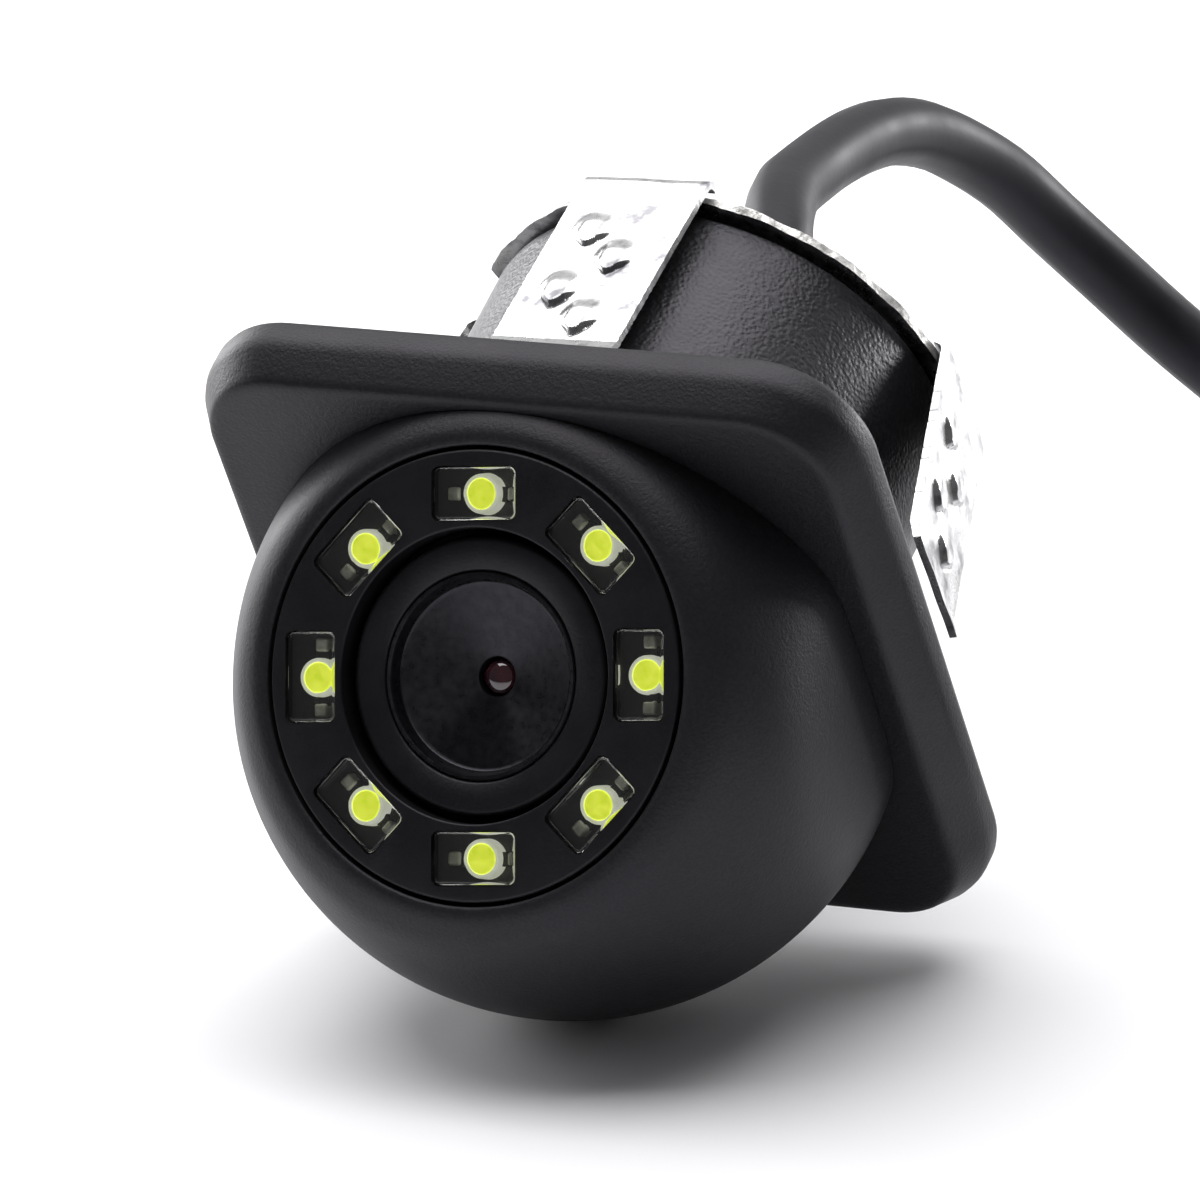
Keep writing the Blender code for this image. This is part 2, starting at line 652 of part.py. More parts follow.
def cord_tube(name, route, spacing):
    points = smooth_route(route, spacing)
    curve = bpy.data.curves.new(name, "CURVE")
    curve.dimensions = "3D"
    curve.bevel_depth = CORD_R * MM
    curve.bevel_resolution = 2
    curve.use_fill_caps = True
    spline = curve.splines.new("POLY")
    spline.points.add(len(points) - 1)
    for spot, point in zip(spline.points, points):
        spot.co = (*(point * MM), 1.0)
    curve.materials.append(material("cord_jacket"))
    bpy.context.scene.collection.objects.link(bpy.data.objects.new(name, curve))


def coil_frame(turn=0.0):
    return Matrix.Translation((*COIL_CENTRE, 0.0)) @ Matrix.Rotation(turn, 4, "Z")


def band_mesh(margin, wide):
    """A flat band bent into a rectangle round the coil's bundle of turns."""
    left = COIL_MEAN_R - COIL_HALF_WIDE - TIE_PROUD - margin
    right = COIL_MEAN_R + COIL_HALF_WIDE + TIE_PROUD + margin
    low = COIL_LOW - margin
    high = COIL_HIGH + TIE_PROUD + margin
    thick = TIE_THICK + 2 * margin
    outline = [(left, low), (right, low), (right, high), (left, high)]
    outline += [(left + thick, low + thick), (right - thick, low + thick)]
    outline += [(right - thick, high - thick), (left + thick, high - thick)]
    work = bmesh.new()
    near, far = [[work.verts.new((x, y, z)) for x, z in outline] for y in (-wide / 2, wide / 2)]
    for i in range(4):
        j = (i + 1) % 4
        work.faces.new((near[i], near[j], near[4 + j], near[4 + i]))
        work.faces.new((far[4 + i], far[4 + j], far[j], far[i]))
        work.faces.new((near[i], far[i], far[j], near[j]))
        work.faces.new((near[4 + j], far[4 + j], far[4 + i], near[4 + i]))
    return work


def make_coil():
    left = COIL_MEAN_R - COIL_HALF_WIDE + COIL_ROUND
    right = COIL_MEAN_R + COIL_HALF_WIDE - COIL_ROUND
    low = COIL_LOW + COIL_ROUND
    high = COIL_HIGH - COIL_ROUND
    profile = arc((right, high), COIL_ROUND, 90, 0, 3) + arc((right, low), COIL_ROUND, 0, -90, 3)
    profile += arc((left, low), COIL_ROUND, 270, 180, 3) + arc((left, high), COIL_ROUND, 180, 90, 3)
    coil = add_object("cord_coil", lathe_mesh(profile, 36), coil_frame(), "cord_jacket")
    groove = helper("tie_cut", band_mesh(0.3, TIE_WIDE + 0.6), coil_frame(TIE_TURN))
    combine(coil, [groove], "DIFFERENCE")
    add_object("cord_tie", band_mesh(0.0, TIE_WIDE), coil_frame(TIE_TURN), "rubber")


def connector_frame():
    """z runs from the lead's end of the connector to its mating end, which points along -Y."""
    return Matrix.Translation(CONNECTOR_PLACE) @ Matrix.Rotation(math.pi / 2, 4, "X")


def make_connector():
    bore = CORD_R + 0.06
    boot = [(bore, 0.0), (bore + 0.9, 0.0), (3.3, 6.5), (3.6, 7.5), (bore, 7.5)]
    add_object("connector_boot", lathe_mesh(boot, 24), connector_frame(), "rubber")
    shell = [(0.0, 7.55), (4.3, 7.55), (4.3, 9.2), (4.9, 9.2), (4.9, 10.3), (4.3, 10.3), (4.3, 16.0)]
    shell += [(3.7, 16.0), (3.7, 22.5), (2.9, 22.5), (2.9, 16.5), (0.0, 16.5)]
    add_object("connector_shell", lathe_mesh(shell, 32), connector_frame(), "satin_black")
    collar = []
    ribs = 20
    for i in range(ribs * 2):
        radius = 5.4 if i % 2 else 5.1
        angle = math.pi * i / ribs
        collar.append((radius * math.cos(angle), radius * math.sin(angle)))
    nut = add_object("connector_collar", prism_mesh(collar, 10.5, 15.5), connector_frame(), "satin_black")
    hole = [(0.0, 5.0), (4.38, 5.0), (4.38, 20.0), (0.0, 20.0)]
    combine(nut, [helper("collar_cut", lathe_mesh(hole, 32), connector_frame())], "DIFFERENCE")
    insert = [(0.0, 16.55), (2.8, 16.55), (2.8, 18.0), (0.0, 18.0)]
    add_object("connector_insert", lathe_mesh(insert, 24), connector_frame(), "white_plastic")
    for i in range(4):
        angle = math.pi / 4 + i * math.pi / 2
        spot = (1.4 * math.cos(angle), 1.4 * math.sin(angle))
        pin = [(0.0, 18.05), (0.35, 18.05), (0.35, 21.3), (0.2, 21.6), (0.0, 21.6)]
        add_object("connector_pin_%d" % (i + 1), lathe_mesh(pin, 12, spot), connector_frame(), "brass")
    ring = arc((4.15, 16.5), 0.38, 0, 315, 7)
    add_object("connector_seal", lathe_mesh(ring, 28), connector_frame(), "rubber")


def main():
    clear_scene()
    make_nose()
    make_flange()
    make_barrel()
    make_rear_cover()
    make_rear_nut()
    make_gland()
    make_clip_ring()
    for side in LEG_TURN:
        make_leg(side)
    make_bezel()
    make_window_ring()
    make_led_board()
    for number in range(LED_COUNT):
        make_led(number)
    make_lens_holder()
    make_lens_hood()
    make_lens_parts()
    make_lens_mount()
    make_camera_board()
    cord_tube("cord", CORD_ROUTE, 3.0)
    cord_tube("cord_tail", TAIL_ROUTE, 2.0)
    make_coil()
    make_connector()


main()
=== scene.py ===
"""The backup camera's finished look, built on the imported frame: fine meshes, procedural materials, light.

Sizes are in millimetres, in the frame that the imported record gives, and the meshes are in metres.
"""

import math

import json

import bmesh
import bpy
from mathutils import Matrix, Vector, noise


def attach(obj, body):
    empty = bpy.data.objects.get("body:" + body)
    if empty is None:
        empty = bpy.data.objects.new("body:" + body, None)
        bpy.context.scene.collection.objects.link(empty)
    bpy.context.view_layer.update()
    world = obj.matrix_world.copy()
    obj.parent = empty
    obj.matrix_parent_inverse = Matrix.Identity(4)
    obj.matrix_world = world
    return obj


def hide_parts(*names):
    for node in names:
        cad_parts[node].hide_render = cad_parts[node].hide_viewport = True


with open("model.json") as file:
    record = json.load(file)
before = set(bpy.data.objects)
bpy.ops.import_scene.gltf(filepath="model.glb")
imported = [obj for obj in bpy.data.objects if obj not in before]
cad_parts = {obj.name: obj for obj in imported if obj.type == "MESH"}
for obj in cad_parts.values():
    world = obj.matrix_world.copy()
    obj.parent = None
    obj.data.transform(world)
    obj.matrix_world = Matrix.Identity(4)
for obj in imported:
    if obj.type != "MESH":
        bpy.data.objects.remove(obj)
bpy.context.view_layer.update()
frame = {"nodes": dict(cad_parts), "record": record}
MM = 0.001

# The camera that looks at the object
EYE_PLACE = (230.6, -453.78, 192.21)
EYE_RIGHT = (0.8995122, 0.4308964, -0.0721533)
EYE_DOWN = (0.0792199, -0.3232764, -0.9429828)
EYE_LENS = 360.0

# Flange
FLANGE_SIDE = 32.4
FLANGE_THICK = 3.3
FLANGE_CORNER_R = 4.9
FLANGE_BEVEL_IN = 1.0
FLANGE_BEVEL_DEEP = 1.75

# Nose
NOSE_R = 15.12
NOSE_CENTRE = Vector((0.0, -0.25, 1.67))
NOSE_CHEEK = 13.95
NOSE_BLEND = 45.0
NOSE_BACK = math.radians(150.0)
NOSE_RINGS = 110
NOSE_SEGMENTS = 192
LIP_BLEND = 110
FACE_CENTRE = Vector((0.0, 6.91, 8.65))
FACE_SLANT = math.radians(45.0)
FACE_SEAT_R = 10.12
FACE_LIP_R = 10.75
FACE_LIP_SLOPE = math.radians(24.0)
FACE_DEPTH = 11.0
FACE_BORE_R = 7.3
FACE_SEAT_DEEP = 2.85

# Barrel and rear
BARREL_R = 11.25
BARREL_END = 16.8
COVER_R = 10.8
BOSS_R = 4.7
BOSS_END = 19.8
GROMMET_END = 22.2

# Spring clip
CLIP_R = 11.67
CLIP_THICK = 0.4
CLIP_FRONT = 17.3
CLIP_HOLE_R = 5.0
LEG_WIDTH = 6.2
LEG_THICK = 0.35
LEG_TIP = 5.3
LEG_KINK_LONG = 1.2
LEG_ROOT_R = {"top": 12.55, "right": 12.35, "bottom": 12.45, "left": 12.45}
LEG_FLARE = {"top": 2.5, "right": 13.5, "bottom": 9.0, "left": 4.0}
LEG_TURN = {"right": 0.0, "top": 90.0, "left": 180.0, "bottom": 270.0}
# The photographed clip sits turned a little on the barrel, and its web is narrow between these angles.
CLIP_TURN = 2.0
WEB_DIP = (147.0, 164.0)
WEB_DIP_DEEP = 0.6
# Each tooth's start along its leg and its middle across it
BARBS = ((1.8, 1.15), (3.6, -0.65), (5.9, 1.15), (7.7, -0.65))
BARB_HIGH = 0.26
BARB_LONG = 2.6
BARB_HALF = 1.15
LEG_BEND_R = 0.85
LEG_COLUMNS = 85
LEG_STEPS = 170

# Lit ring
LED_COUNT = 8
LED_CIRCLE_R = 8.0
LED_RING_TURN = math.radians(5.0)
LED_TOP = -0.95
LED_BOARD_TOP = -1.75
BEZEL_R = 9.95
BEZEL_BORE_R = 6.5
WINDOW_LONG = 4.1
WINDOW_WIDE = 2.45

# Lens
HOLDER_R = 6.17
HOLDER_TOP = -0.62
HOOD_R = 4.6
LENS_R = 0.82

# Lead
CORD_R = 1.65
CORD_ROUTE = (
    (0.0, 15.0, 24.73),
    (0.0, 17.3, 25.78),
    (-0.8, 20.6, 27.02),
    (-2.3, 24.1, 27.62),
    (-3.6, 27.8, 27.62),
    (-4.3, 31.4, 27.32),
    (-4.8, 35.2, 27.02),
    (-5.1, 39.0, 26.62),
    (-5.1, 42.4, 26.02),
    (-4.9, 45.7, 24.92),
    (-4.4, 48.6, 23.32),
    (-3.3, 51.4, 21.04),
    (-1.9, 53.5, 18.26),
    (0.2, 55.1, 15.3),
    (3.0, 56.0, 12.25),
    (6.5, 56.4, 9.32),
    (10.4, 56.1, 6.8),
    (14.5, 55.4, 4.78),
    (18.8, 54.4, 3.2),
    (23.2, 53.6, 2.1),
    (27.6, 53.25, 1.7),
    (31.6, 53.2, 1.68),
)
TAIL_ROUTE = ((63.15, 17.6, 4.55), (63.15, 15.4, 4.7), (63.15, 13.0, 5.15), (63.15, 10.4, 5.45))
COIL_CENTRE = Vector((44.0, 32.4, 0.0))
COIL_LAYERS = ((20.8, 1.68), (17.5, 1.68), (14.2, 1.68), (15.85, 4.5), (19.15, 4.5))
COIL_STEPS = 48
TIE_TURN = math.radians(205.0)
TIE_ACROSS = 10.5
TIE_HIGH = 6.5
TIE_MIDDLE = (17.5, 3.28)
CONNECTOR_PLACE = (63.15, 10.1, 5.5)

# Floor: white near the camera's view, with painted shade (a grey fall-off) outside it, so that the black
# sides reflect less (metres)
FLOOR_SIZE = 4.0
FLOOR_MIDDLE = (-0.03, 0.04, 0.0)
FLOOR_WHITE_TO = 0.2
FLOOR_GREY_FROM = 0.42
WORLD_STRENGTH = 0.1


# Frames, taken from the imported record
def record_mount(name):
    return next(m for m in frame["record"]["mounts"] if m["name"] == name)


def body_frame():
    """x across, y up the flange, z out of its front; its origin is the middle of the flange's front."""
    hole = record_mount("panel_hole")
    back = Vector(hole["axis"])
    origin = Vector(hole["pos_m"]) / MM - back * 5.0
    z = -back
    x = Vector((1, 0, 0))
    y = z.cross(x)
    turn = Matrix((x, y, z)).transposed().to_4x4()
    return Matrix.Translation(origin) @ turn


BODY = body_frame()
FACE = BODY @ Matrix.Translation(FACE_CENTRE) @ Matrix.Rotation(-FACE_SLANT, 4, "X")


def ring_frame(turn):
    return FACE @ Matrix.Rotation(turn, 4, "Z")


def leg_frame(side):
    return BODY @ Matrix.Rotation(math.radians(LEG_TURN[side] + CLIP_TURN), 4, "Z")


# Node helpers for materials
class Nodes:
    """A material's node tree with short calls for the nodes that the materials share."""

    def __init__(self, name):
        self.material = bpy.data.materials.new(name)
        self.material.use_nodes = True
        self.tree = self.material.node_tree
        self.shader = self.tree.nodes["Principled BSDF"]
        self.where = self.add("ShaderNodeTexCoord").outputs["Object"]

    def add(self, kind, **settings):
        node = self.tree.nodes.new(kind)
        for key, value in settings.items():
            setattr(node, key, value)
        return node

    def link(self, output, target):
        self.tree.links.new(output, target)

    def set(self, **values):
        for key, value in values.items():
            self.shader.inputs[key.replace("_", " ")].default_value = value

    def noise(self, scale, detail=3.0, rough=0.5, stretch=None):
        node = self.add("ShaderNodeTexNoise")
        node.inputs["Scale"].default_value = scale
        node.inputs["Detail"].default_value = detail
        node.inputs["Roughness"].default_value = rough
        where = self.where
        if stretch:
            mapping = self.add("ShaderNodeMapping")
            mapping.inputs["Scale"].default_value = stretch
            self.link(self.where, mapping.inputs["Vector"])
            where = mapping.outputs["Vector"]
        self.link(where, node.inputs["Vector"])
        return node.outputs["Fac"]

    def cells(self, scale):
        node = self.add("ShaderNodeTexVoronoi", feature="SMOOTH_F1")
        node.inputs["Scale"].default_value = scale
        self.link(self.where, node.inputs["Vector"])
        return node.outputs["Distance"]

    def ramp(self, value, low, high, start=0.3, end=0.7):
        """value spread over start to end, as a number from low to high."""
        node = self.add("ShaderNodeMapRange")
        node.inputs["From Min"].default_value = start
        node.inputs["From Max"].default_value = end
        node.inputs["To Min"].default_value = low
        node.inputs["To Max"].default_value = high
        self.link(value, node.inputs["Value"])
        return node.outputs["Result"]

    def colours(self, value, first, second, start=0.35, end=0.65):
        node = self.add("ShaderNodeValToRGB")
        node.color_ramp.elements[0].position = start
        node.color_ramp.elements[1].position = end
        node.color_ramp.elements[0].color = (*first, 1.0)
        node.color_ramp.elements[1].color = (*second, 1.0)
        self.link(value, node.inputs["Fac"])
        return node.outputs["Color"]

    def bump(self, value, distance, strength=1.0, under=None):
        node = self.add("ShaderNodeBump")
        node.inputs["Distance"].default_value = distance
        node.inputs["Strength"].default_value = strength
        self.link(value, node.inputs["Height"])
        if under is not None:
            self.link(under, node.inputs["Normal"])
        return node.outputs["Normal"]

    def use(self, **outputs):
        for key, output in outputs.items():
            self.link(output, self.shader.inputs[key.replace("_", " ")])
        return self.material


def matte_black():
    """Spark-eroded plastic: a fine even grain."""
    n = Nodes("matte_black")
    n.set(Specular_IOR_Level=0.36, Specular_Tint=(0.95, 0.90, 1.0, 1.0))
    grain = n.noise(6500.0, 2.0, 0.6)
    coarse = n.noise(2600.0, 2.0)
    patches = n.noise(160.0, 2.0)
    normal = n.bump(coarse, 0.00002, 0.5, n.bump(grain, 0.00003, 0.8))
    colour = n.colours(grain, (0.004, 0.004, 0.0048), (0.0085, 0.0085, 0.0098))
    return n.use(Base_Color=colour, Roughness=n.ramp(patches, 0.46, 0.54), Normal=normal)


def barrel_black():
    """Coarser leather-like grain that is a little glossy."""
    n = Nodes("barrel_black")
    n.set(Specular_IOR_Level=0.45, Specular_Tint=(0.95, 0.90, 1.0, 1.0))
    grain = n.cells(5200.0)
    fine = n.noise(8000.0, 2.0)
    normal = n.bump(fine, 0.00002, 0.6, n.bump(grain, 0.00004, 0.8))
    colour = n.colours(grain, (0.005, 0.005, 0.006), (0.009, 0.009, 0.010), 0.2, 0.6)
    return n.use(Base_Color=colour, Roughness=n.ramp(n.noise(300.0), 0.36, 0.46), Normal=normal)


def satin_black():
    n = Nodes("satin_black")
    n.set(Specular_IOR_Level=0.3, Specular_Tint=(0.95, 0.90, 1.0, 1.0))
    grain = n.noise(6500.0, 2.0)
    colour = n.colours(n.noise(500.0), (0.0035, 0.0035, 0.0042), (0.0065, 0.0065, 0.0075))
    return n.use(Base_Color=colour, Roughness=n.ramp(grain, 0.4, 0.5), Normal=n.bump(grain, 0.00002, 0.5))


def gloss_black():
    n = Nodes("gloss_black")
    grain = n.noise(2500.0, 2.0)
    colour = n.colours(grain, (0.007, 0.007, 0.008), (0.010, 0.010, 0.011))
    return n.use(Base_Color=colour, Roughness=n.ramp(grain, 0.22, 0.32), Normal=n.bump(grain, 0.00001, 0.4))


def spring_steel():
    """Bright rolled strip: fine rolling lines, soft waves from the press and small stains."""
    n = Nodes("spring_steel")
    n.set(Metallic=1.0)
    waves = n.noise(260.0, 1.0, 0.5)
    lines = n.noise(900.0, 3.0, 0.6, (1.0, 7.0, 7.0))
    stains = n.noise(700.0, 4.0, 0.6)
    normal = n.bump(lines, 0.00001, 0.4, n.bump(waves, 0.0001, 0.4))
    colour = n.colours(stains, (0.24, 0.235, 0.25), (0.66, 0.66, 0.66), 0.34, 0.5)
    return n.use(Base_Color=colour, Roughness=n.ramp(stains, 0.34, 0.24), Normal=normal)


def sheared_edge():
    """The washer's cut rim: rougher and darker than the strip's faces."""
    n = Nodes("sheared_edge")
    n.set(Metallic=0.4)
    lumps = n.noise(1700.0, 4.0, 0.65)
    colour = n.colours(lumps, (0.30, 0.29, 0.28), (0.78, 0.77, 0.75), 0.34, 0.56)
    return n.use(Base_Color=colour, Roughness=n.ramp(lumps, 0.5, 0.25), Normal=n.bump(lumps, 0.00012, 0.9))


def solder_tab():
    n = Nodes("solder_tab")
    n.set(Metallic=0.2)
    lumps = n.noise(2600.0, 3.0)
    colour = n.colours(lumps, (0.66, 0.64, 0.56), (0.95, 0.94, 0.90))
    return n.use(Base_Color=colour, Roughness=n.ramp(lumps, 0.5, 0.35), Normal=n.bump(lumps, 0.00006, 0.6))


def phosphor():
    """Yellow-green resin over the lamp's die, slightly mottled, with a painted glow: its emission stands in
    for light falling on the unlit lamp.
    """
    n = Nodes("phosphor")
    grain = n.noise(2400.0, 3.0)
    colour = n.colours(grain, (0.62, 0.72, 0.03), (0.78, 0.86, 0.07))
    # painted glow: this emission brightens the disc in place of light falling on it
    n.set(Emission_Strength=0.92, Coat_Weight=0.3, Coat_Roughness=0.1)
    roughness = n.ramp(grain, 0.25, 0.4)
    normal = n.bump(grain, 0.00003, 0.4)
    return n.use(Emission_Color=colour, Base_Color=colour, Roughness=roughness, Normal=normal)


def lamp_body():
    n = Nodes("lamp_body")
    grain = n.noise(2600.0, 2.0)
    colour = n.colours(grain, (0.80, 0.82, 0.66), (0.90, 0.91, 0.82))
    # painted glow: the pale rim is given emission in place of light falling on it
    n.set(Emission_Strength=0.5)
    roughness = n.ramp(grain, 0.35, 0.5)
    normal = n.bump(grain, 0.00002, 0.4)
    return n.use(Emission_Color=colour, Base_Color=colour, Roughness=roughness, Normal=normal)


def board_black():
    n = Nodes("board_black")
    weave = n.noise(2800.0, 2.0)
    colour = n.colours(weave, (0.005, 0.0055, 0.006), (0.010, 0.011, 0.012))
    return n.use(Base_Color=colour, Roughness=n.ramp(weave, 0.32, 0.42), Normal=n.bump(weave, 0.00002, 0.5))


def board_green():
    n = Nodes("board_green")
    weave = n.noise(1900.0, 2.0)
    colour = n.colours(weave, (0.010, 0.075, 0.035), (0.020, 0.115, 0.055))
    return n.use(Base_Color=colour, Roughness=n.ramp(weave, 0.3, 0.4), Normal=n.bump(weave, 0.00002, 0.5))


def clear_plastic():
    """Moulded clear window with a faint ripple."""
    n = Nodes("clear_plastic")
    n.set(Transmission_Weight=1.0, IOR=1.47, Base_Color=(0.97, 0.98, 0.95, 1.0))
    ripple = n.noise(350.0, 1.0)
    return n.use(Roughness=n.ramp(ripple, 0.0, 0.03), Normal=n.bump(ripple, 0.00004, 0.25))


def hood_metal():
    """Black anodised cone: fine turning marks spread each highlight across the cuts."""
    n = Nodes("hood_metal")
    n.set(Metallic=0.8, Anisotropic=0.9, Specular_IOR_Level=0.4)
    tangent = n.add("ShaderNodeTangent", direction_type="UV_MAP", uv_map="turning")
    n.link(tangent.outputs["Tangent"], n.shader.inputs["Tangent"])
    marks = n.noise(2500.0, 2.0)
    colour = n.colours(marks, (0.022, 0.021, 0.025), (0.032, 0.031, 0.036))
    return n.use(Base_Color=colour, Roughness=n.ramp(marks, 0.26, 0.34))


def lens_coating():
    """Front glass with a dark reddish coating."""
    n = Nodes("lens_coating")
    n.set(Coat_Weight=1.0, Coat_Roughness=0.02, IOR=1.6)
    depth = n.noise(900.0, 1.0)
    colour = n.colours(depth, (0.010, 0.003, 0.006), (0.045, 0.008, 0.012))
    return n.use(Base_Color=colour, Roughness=n.ramp(depth, 0.03, 0.07))


def rubber():
    n = Nodes("rubber")
    n.set(Specular_IOR_Level=0.4)
    grain = n.noise(2600.0, 3.0)
    colour = n.colours(grain, (0.008, 0.008, 0.008), (0.014, 0.014, 0.014))
    return n.use(Base_Color=colour, Roughness=n.ramp(grain, 0.6, 0.75), Normal=n.bump(grain, 0.00003, 0.6))


def cord_jacket():
    """Extruded jacket: matte, with faint drawn lines and a light dusting."""
    n = Nodes("cord_jacket")
    n.set(Specular_IOR_Level=0.26, Specular_Tint=(0.95, 0.91, 1.0, 1.0))
    grain = n.noise(2200.0, 3.0)
    dust = n.noise(260.0, 3.0)
    colour = n.colours(dust, (0.007, 0.007, 0.009), (0.012, 0.012, 0.015))
    return n.use(Base_Color=colour, Roughness=n.ramp(dust, 0.44, 0.56), Normal=n.bump(grain, 0.00002, 0.5))


def chip_black():
    n = Nodes("chip_black")
    grain = n.noise(4000.0, 2.0)
    colour = n.colours(grain, (0.012, 0.012, 0.013), (0.020, 0.020, 0.021))
    return n.use(Base_Color=colour, Roughness=n.ramp(grain, 0.3, 0.45), Normal=n.bump(grain, 0.00001, 0.5))


def ivory_plastic():
    n = Nodes("ivory_plastic")
    grain = n.noise(900.0, 2.0)
    colour = n.colours(grain, (0.60, 0.585, 0.53), (0.70, 0.685, 0.63))
    return n.use(Base_Color=colour, Roughness=n.ramp(grain, 0.35, 0.5), Normal=n.bump(grain, 0.00002, 0.4))


def brass():
    n = Nodes("brass")
    n.set(Metallic=1.0)
    stains = n.noise(1500.0, 3.0)
    colour = n.colours(stains, (0.58, 0.42, 0.16), (0.82, 0.64, 0.28))
    return n.use(Base_Color=colour, Roughness=n.ramp(stains, 0.32, 0.2), Normal=n.bump(stains, 0.00001, 0.4))


def screw_steel():
    n = Nodes("screw_steel")
    n.set(Metallic=1.0)
    stains = n.noise(2000.0, 3.0)
    colour = n.colours(stains, (0.42, 0.42, 0.43), (0.62, 0.62, 0.63))
    return n.use(Base_Color=colour, Roughness=n.ramp(stains, 0.4, 0.26), Normal=n.bump(stains, 0.00001, 0.4))


MATERIALS = {
    "matte_black": matte_black(),
    "barrel_black": barrel_black(),
    "satin_black": satin_black(),
    "gloss_black": gloss_black(),
    "spring_steel": spring_steel(),
    "sheared_edge": sheared_edge(),
    "solder_tab": solder_tab(),
    "phosphor": phosphor(),
    "lamp_body": lamp_body(),
    "board_black": board_black(),
    "board_green": board_green(),
    "clear_plastic": clear_plastic(),
    "hood_metal": hood_metal(),
    "lens_glass": lens_coating(),
    "rubber": rubber(),
    "cord_jacket": cord_jacket(),
    "chip": chip_black(),
    "white_plastic": ivory_plastic(),
    "brass": brass(),
    "screw_steel": screw_steel(),
}


# Mesh helpers
def piece(name, work, place, looks, nodes, body="camera", smooth=35.0):
    """Makes a piece of a bmesh in millimetres in a frame, on its body in place of its CAD nodes."""
    bmesh.ops.recalc_face_normals(work, faces=work.faces)
    if work.calc_volume(signed=True) < 0:
        bmesh.ops.reverse_faces(work, faces=work.faces)
    work.transform(Matrix.Scale(MM, 4) @ place)
    mesh = bpy.data.meshes.new(name)
    work.to_mesh(mesh)
    work.free()
    for look in looks:
        mesh.materials.append(MATERIALS[look])
    obj = bpy.data.objects.new(name, mesh)
    bpy.context.scene.collection.objects.link(obj)
    mesh.shade_smooth()
    mesh.set_sharp_from_angle(angle=math.radians(smooth))
    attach(obj, body)
    if nodes:
        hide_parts(*nodes)
    return obj


def soft_step(value):
    value = min(max(value, 0.0), 1.0)
    return value * value * (3 - 2 * value)


def arc(centre, radius, start, end, steps):
    points = []
    for i in range(steps + 1):
        angle = math.radians(start + (end - start) * i / steps)
        points.append((centre[0] + radius * math.cos(angle), centre[1] + radius * math.sin(angle)))
    return points


def skin(rings, closed=False, work=None):
    """Joins rings of points with quads; a ring of one point is a pole."""
    work = work or bmesh.new()
    made = [[work.verts.new(point) for point in ring] for ring in rings]
    pairs = list(zip(made, made[1:]))
    if closed:
        pairs.append((made[-1], made[0]))
    for low, high in pairs:
        count = max(len(low), len(high))
        for i in range(count):
            j = (i + 1) % count
            if len(low) == 1:
                work.faces.new((low[0], high[j], high[i]))
            elif len(high) == 1:
                work.faces.new((low[i], low[j], high[0]))
            else:
                work.faces.new((low[i], low[j], high[j], high[i]))
    return work


def circle(radius, z, segments=128, centre=(0.0, 0.0)):
    if radius == 0:
        return [(centre[0], centre[1], z)]
    ring = []
    for i in range(segments):
        angle = 2 * math.pi * i / segments
        ring.append((centre[0] + radius * math.cos(angle), centre[1] + radius * math.sin(angle), z))
    return ring


def lathe(profile, segments=128, centre=(0.0, 0.0)):
    closed = profile[0][0] > 0 or profile[-1][0] > 0
    return skin([circle(r, z, segments, centre) for r, z in profile], closed)


def rounded_rectangle(width, height, radius, steps=6, centre=(0.0, 0.0)):
    points = []
    half_w = width / 2 - radius
    half_h = height / 2 - radius
    for x, y, start in ((1, 1, 0), (-1, 1, 90), (-1, -1, 180), (1, -1, 270)):
        middle = (centre[0] + x * half_w, centre[1] + y * half_h)
        points += arc(middle, radius, start, start + 90, steps)
    return points


def slab(width, height, radius, low, high, edge, centre=(0.0, 0.0), steps=6, work=None):
    """A rounded rectangle from low to high with its upper edge rounded over."""
    levels = [(0.0, low), (0.0, high - edge)]
    levels += [(edge * (1 - math.cos(a)), high - edge + edge * math.sin(a)) for a in (0.5, 1.05, math.pi / 2)]
    rings = []
    for inset, z in levels:
        corner = max(radius - inset, 0.02)
        sides = rounded_rectangle(width - 2 * inset, height - 2 * inset, corner, steps, centre)
        rings.append([(x, y, z) for x, y in sides])
    work = work or bmesh.new()
    skin(rings, work=work)
    work.verts.ensure_lookup_table()
    count = len(rings[0])
    first = len(work.verts) - count * len(rings)
    work.faces.new([work.verts[first + i] for i in range(count)][::-1])
    work.faces.new([work.verts[len(work.verts) - count + i] for i in range(count)])
    return work


def cut(obj, cutters):
    """Applies Boolean differences with meshes in millimetres in their frames."""
    for work, place in cutters:
        bmesh.ops.recalc_face_normals(work, faces=work.faces)
        work.transform(Matrix.Scale(MM, 4) @ place)
        mesh = bpy.data.meshes.new("cutter")
        work.to_mesh(mesh)
        work.free()
        tool = bpy.data.objects.new("cutter", mesh)
        bpy.context.scene.collection.objects.link(tool)
        modifier = obj.modifiers.new("cut", "BOOLEAN")
        modifier.operation = "DIFFERENCE"
        modifier.object = tool
        graph = bpy.context.evaluated_depsgraph_get()
        result = bpy.data.meshes.new_from_object(obj.evaluated_get(graph))
        obj.modifiers.clear()
        obj.data = result
        bpy.data.objects.remove(tool, do_unlink=True)
    obj.data.shade_smooth()
    obj.data.set_sharp_from_angle(angle=math.radians(35.0))


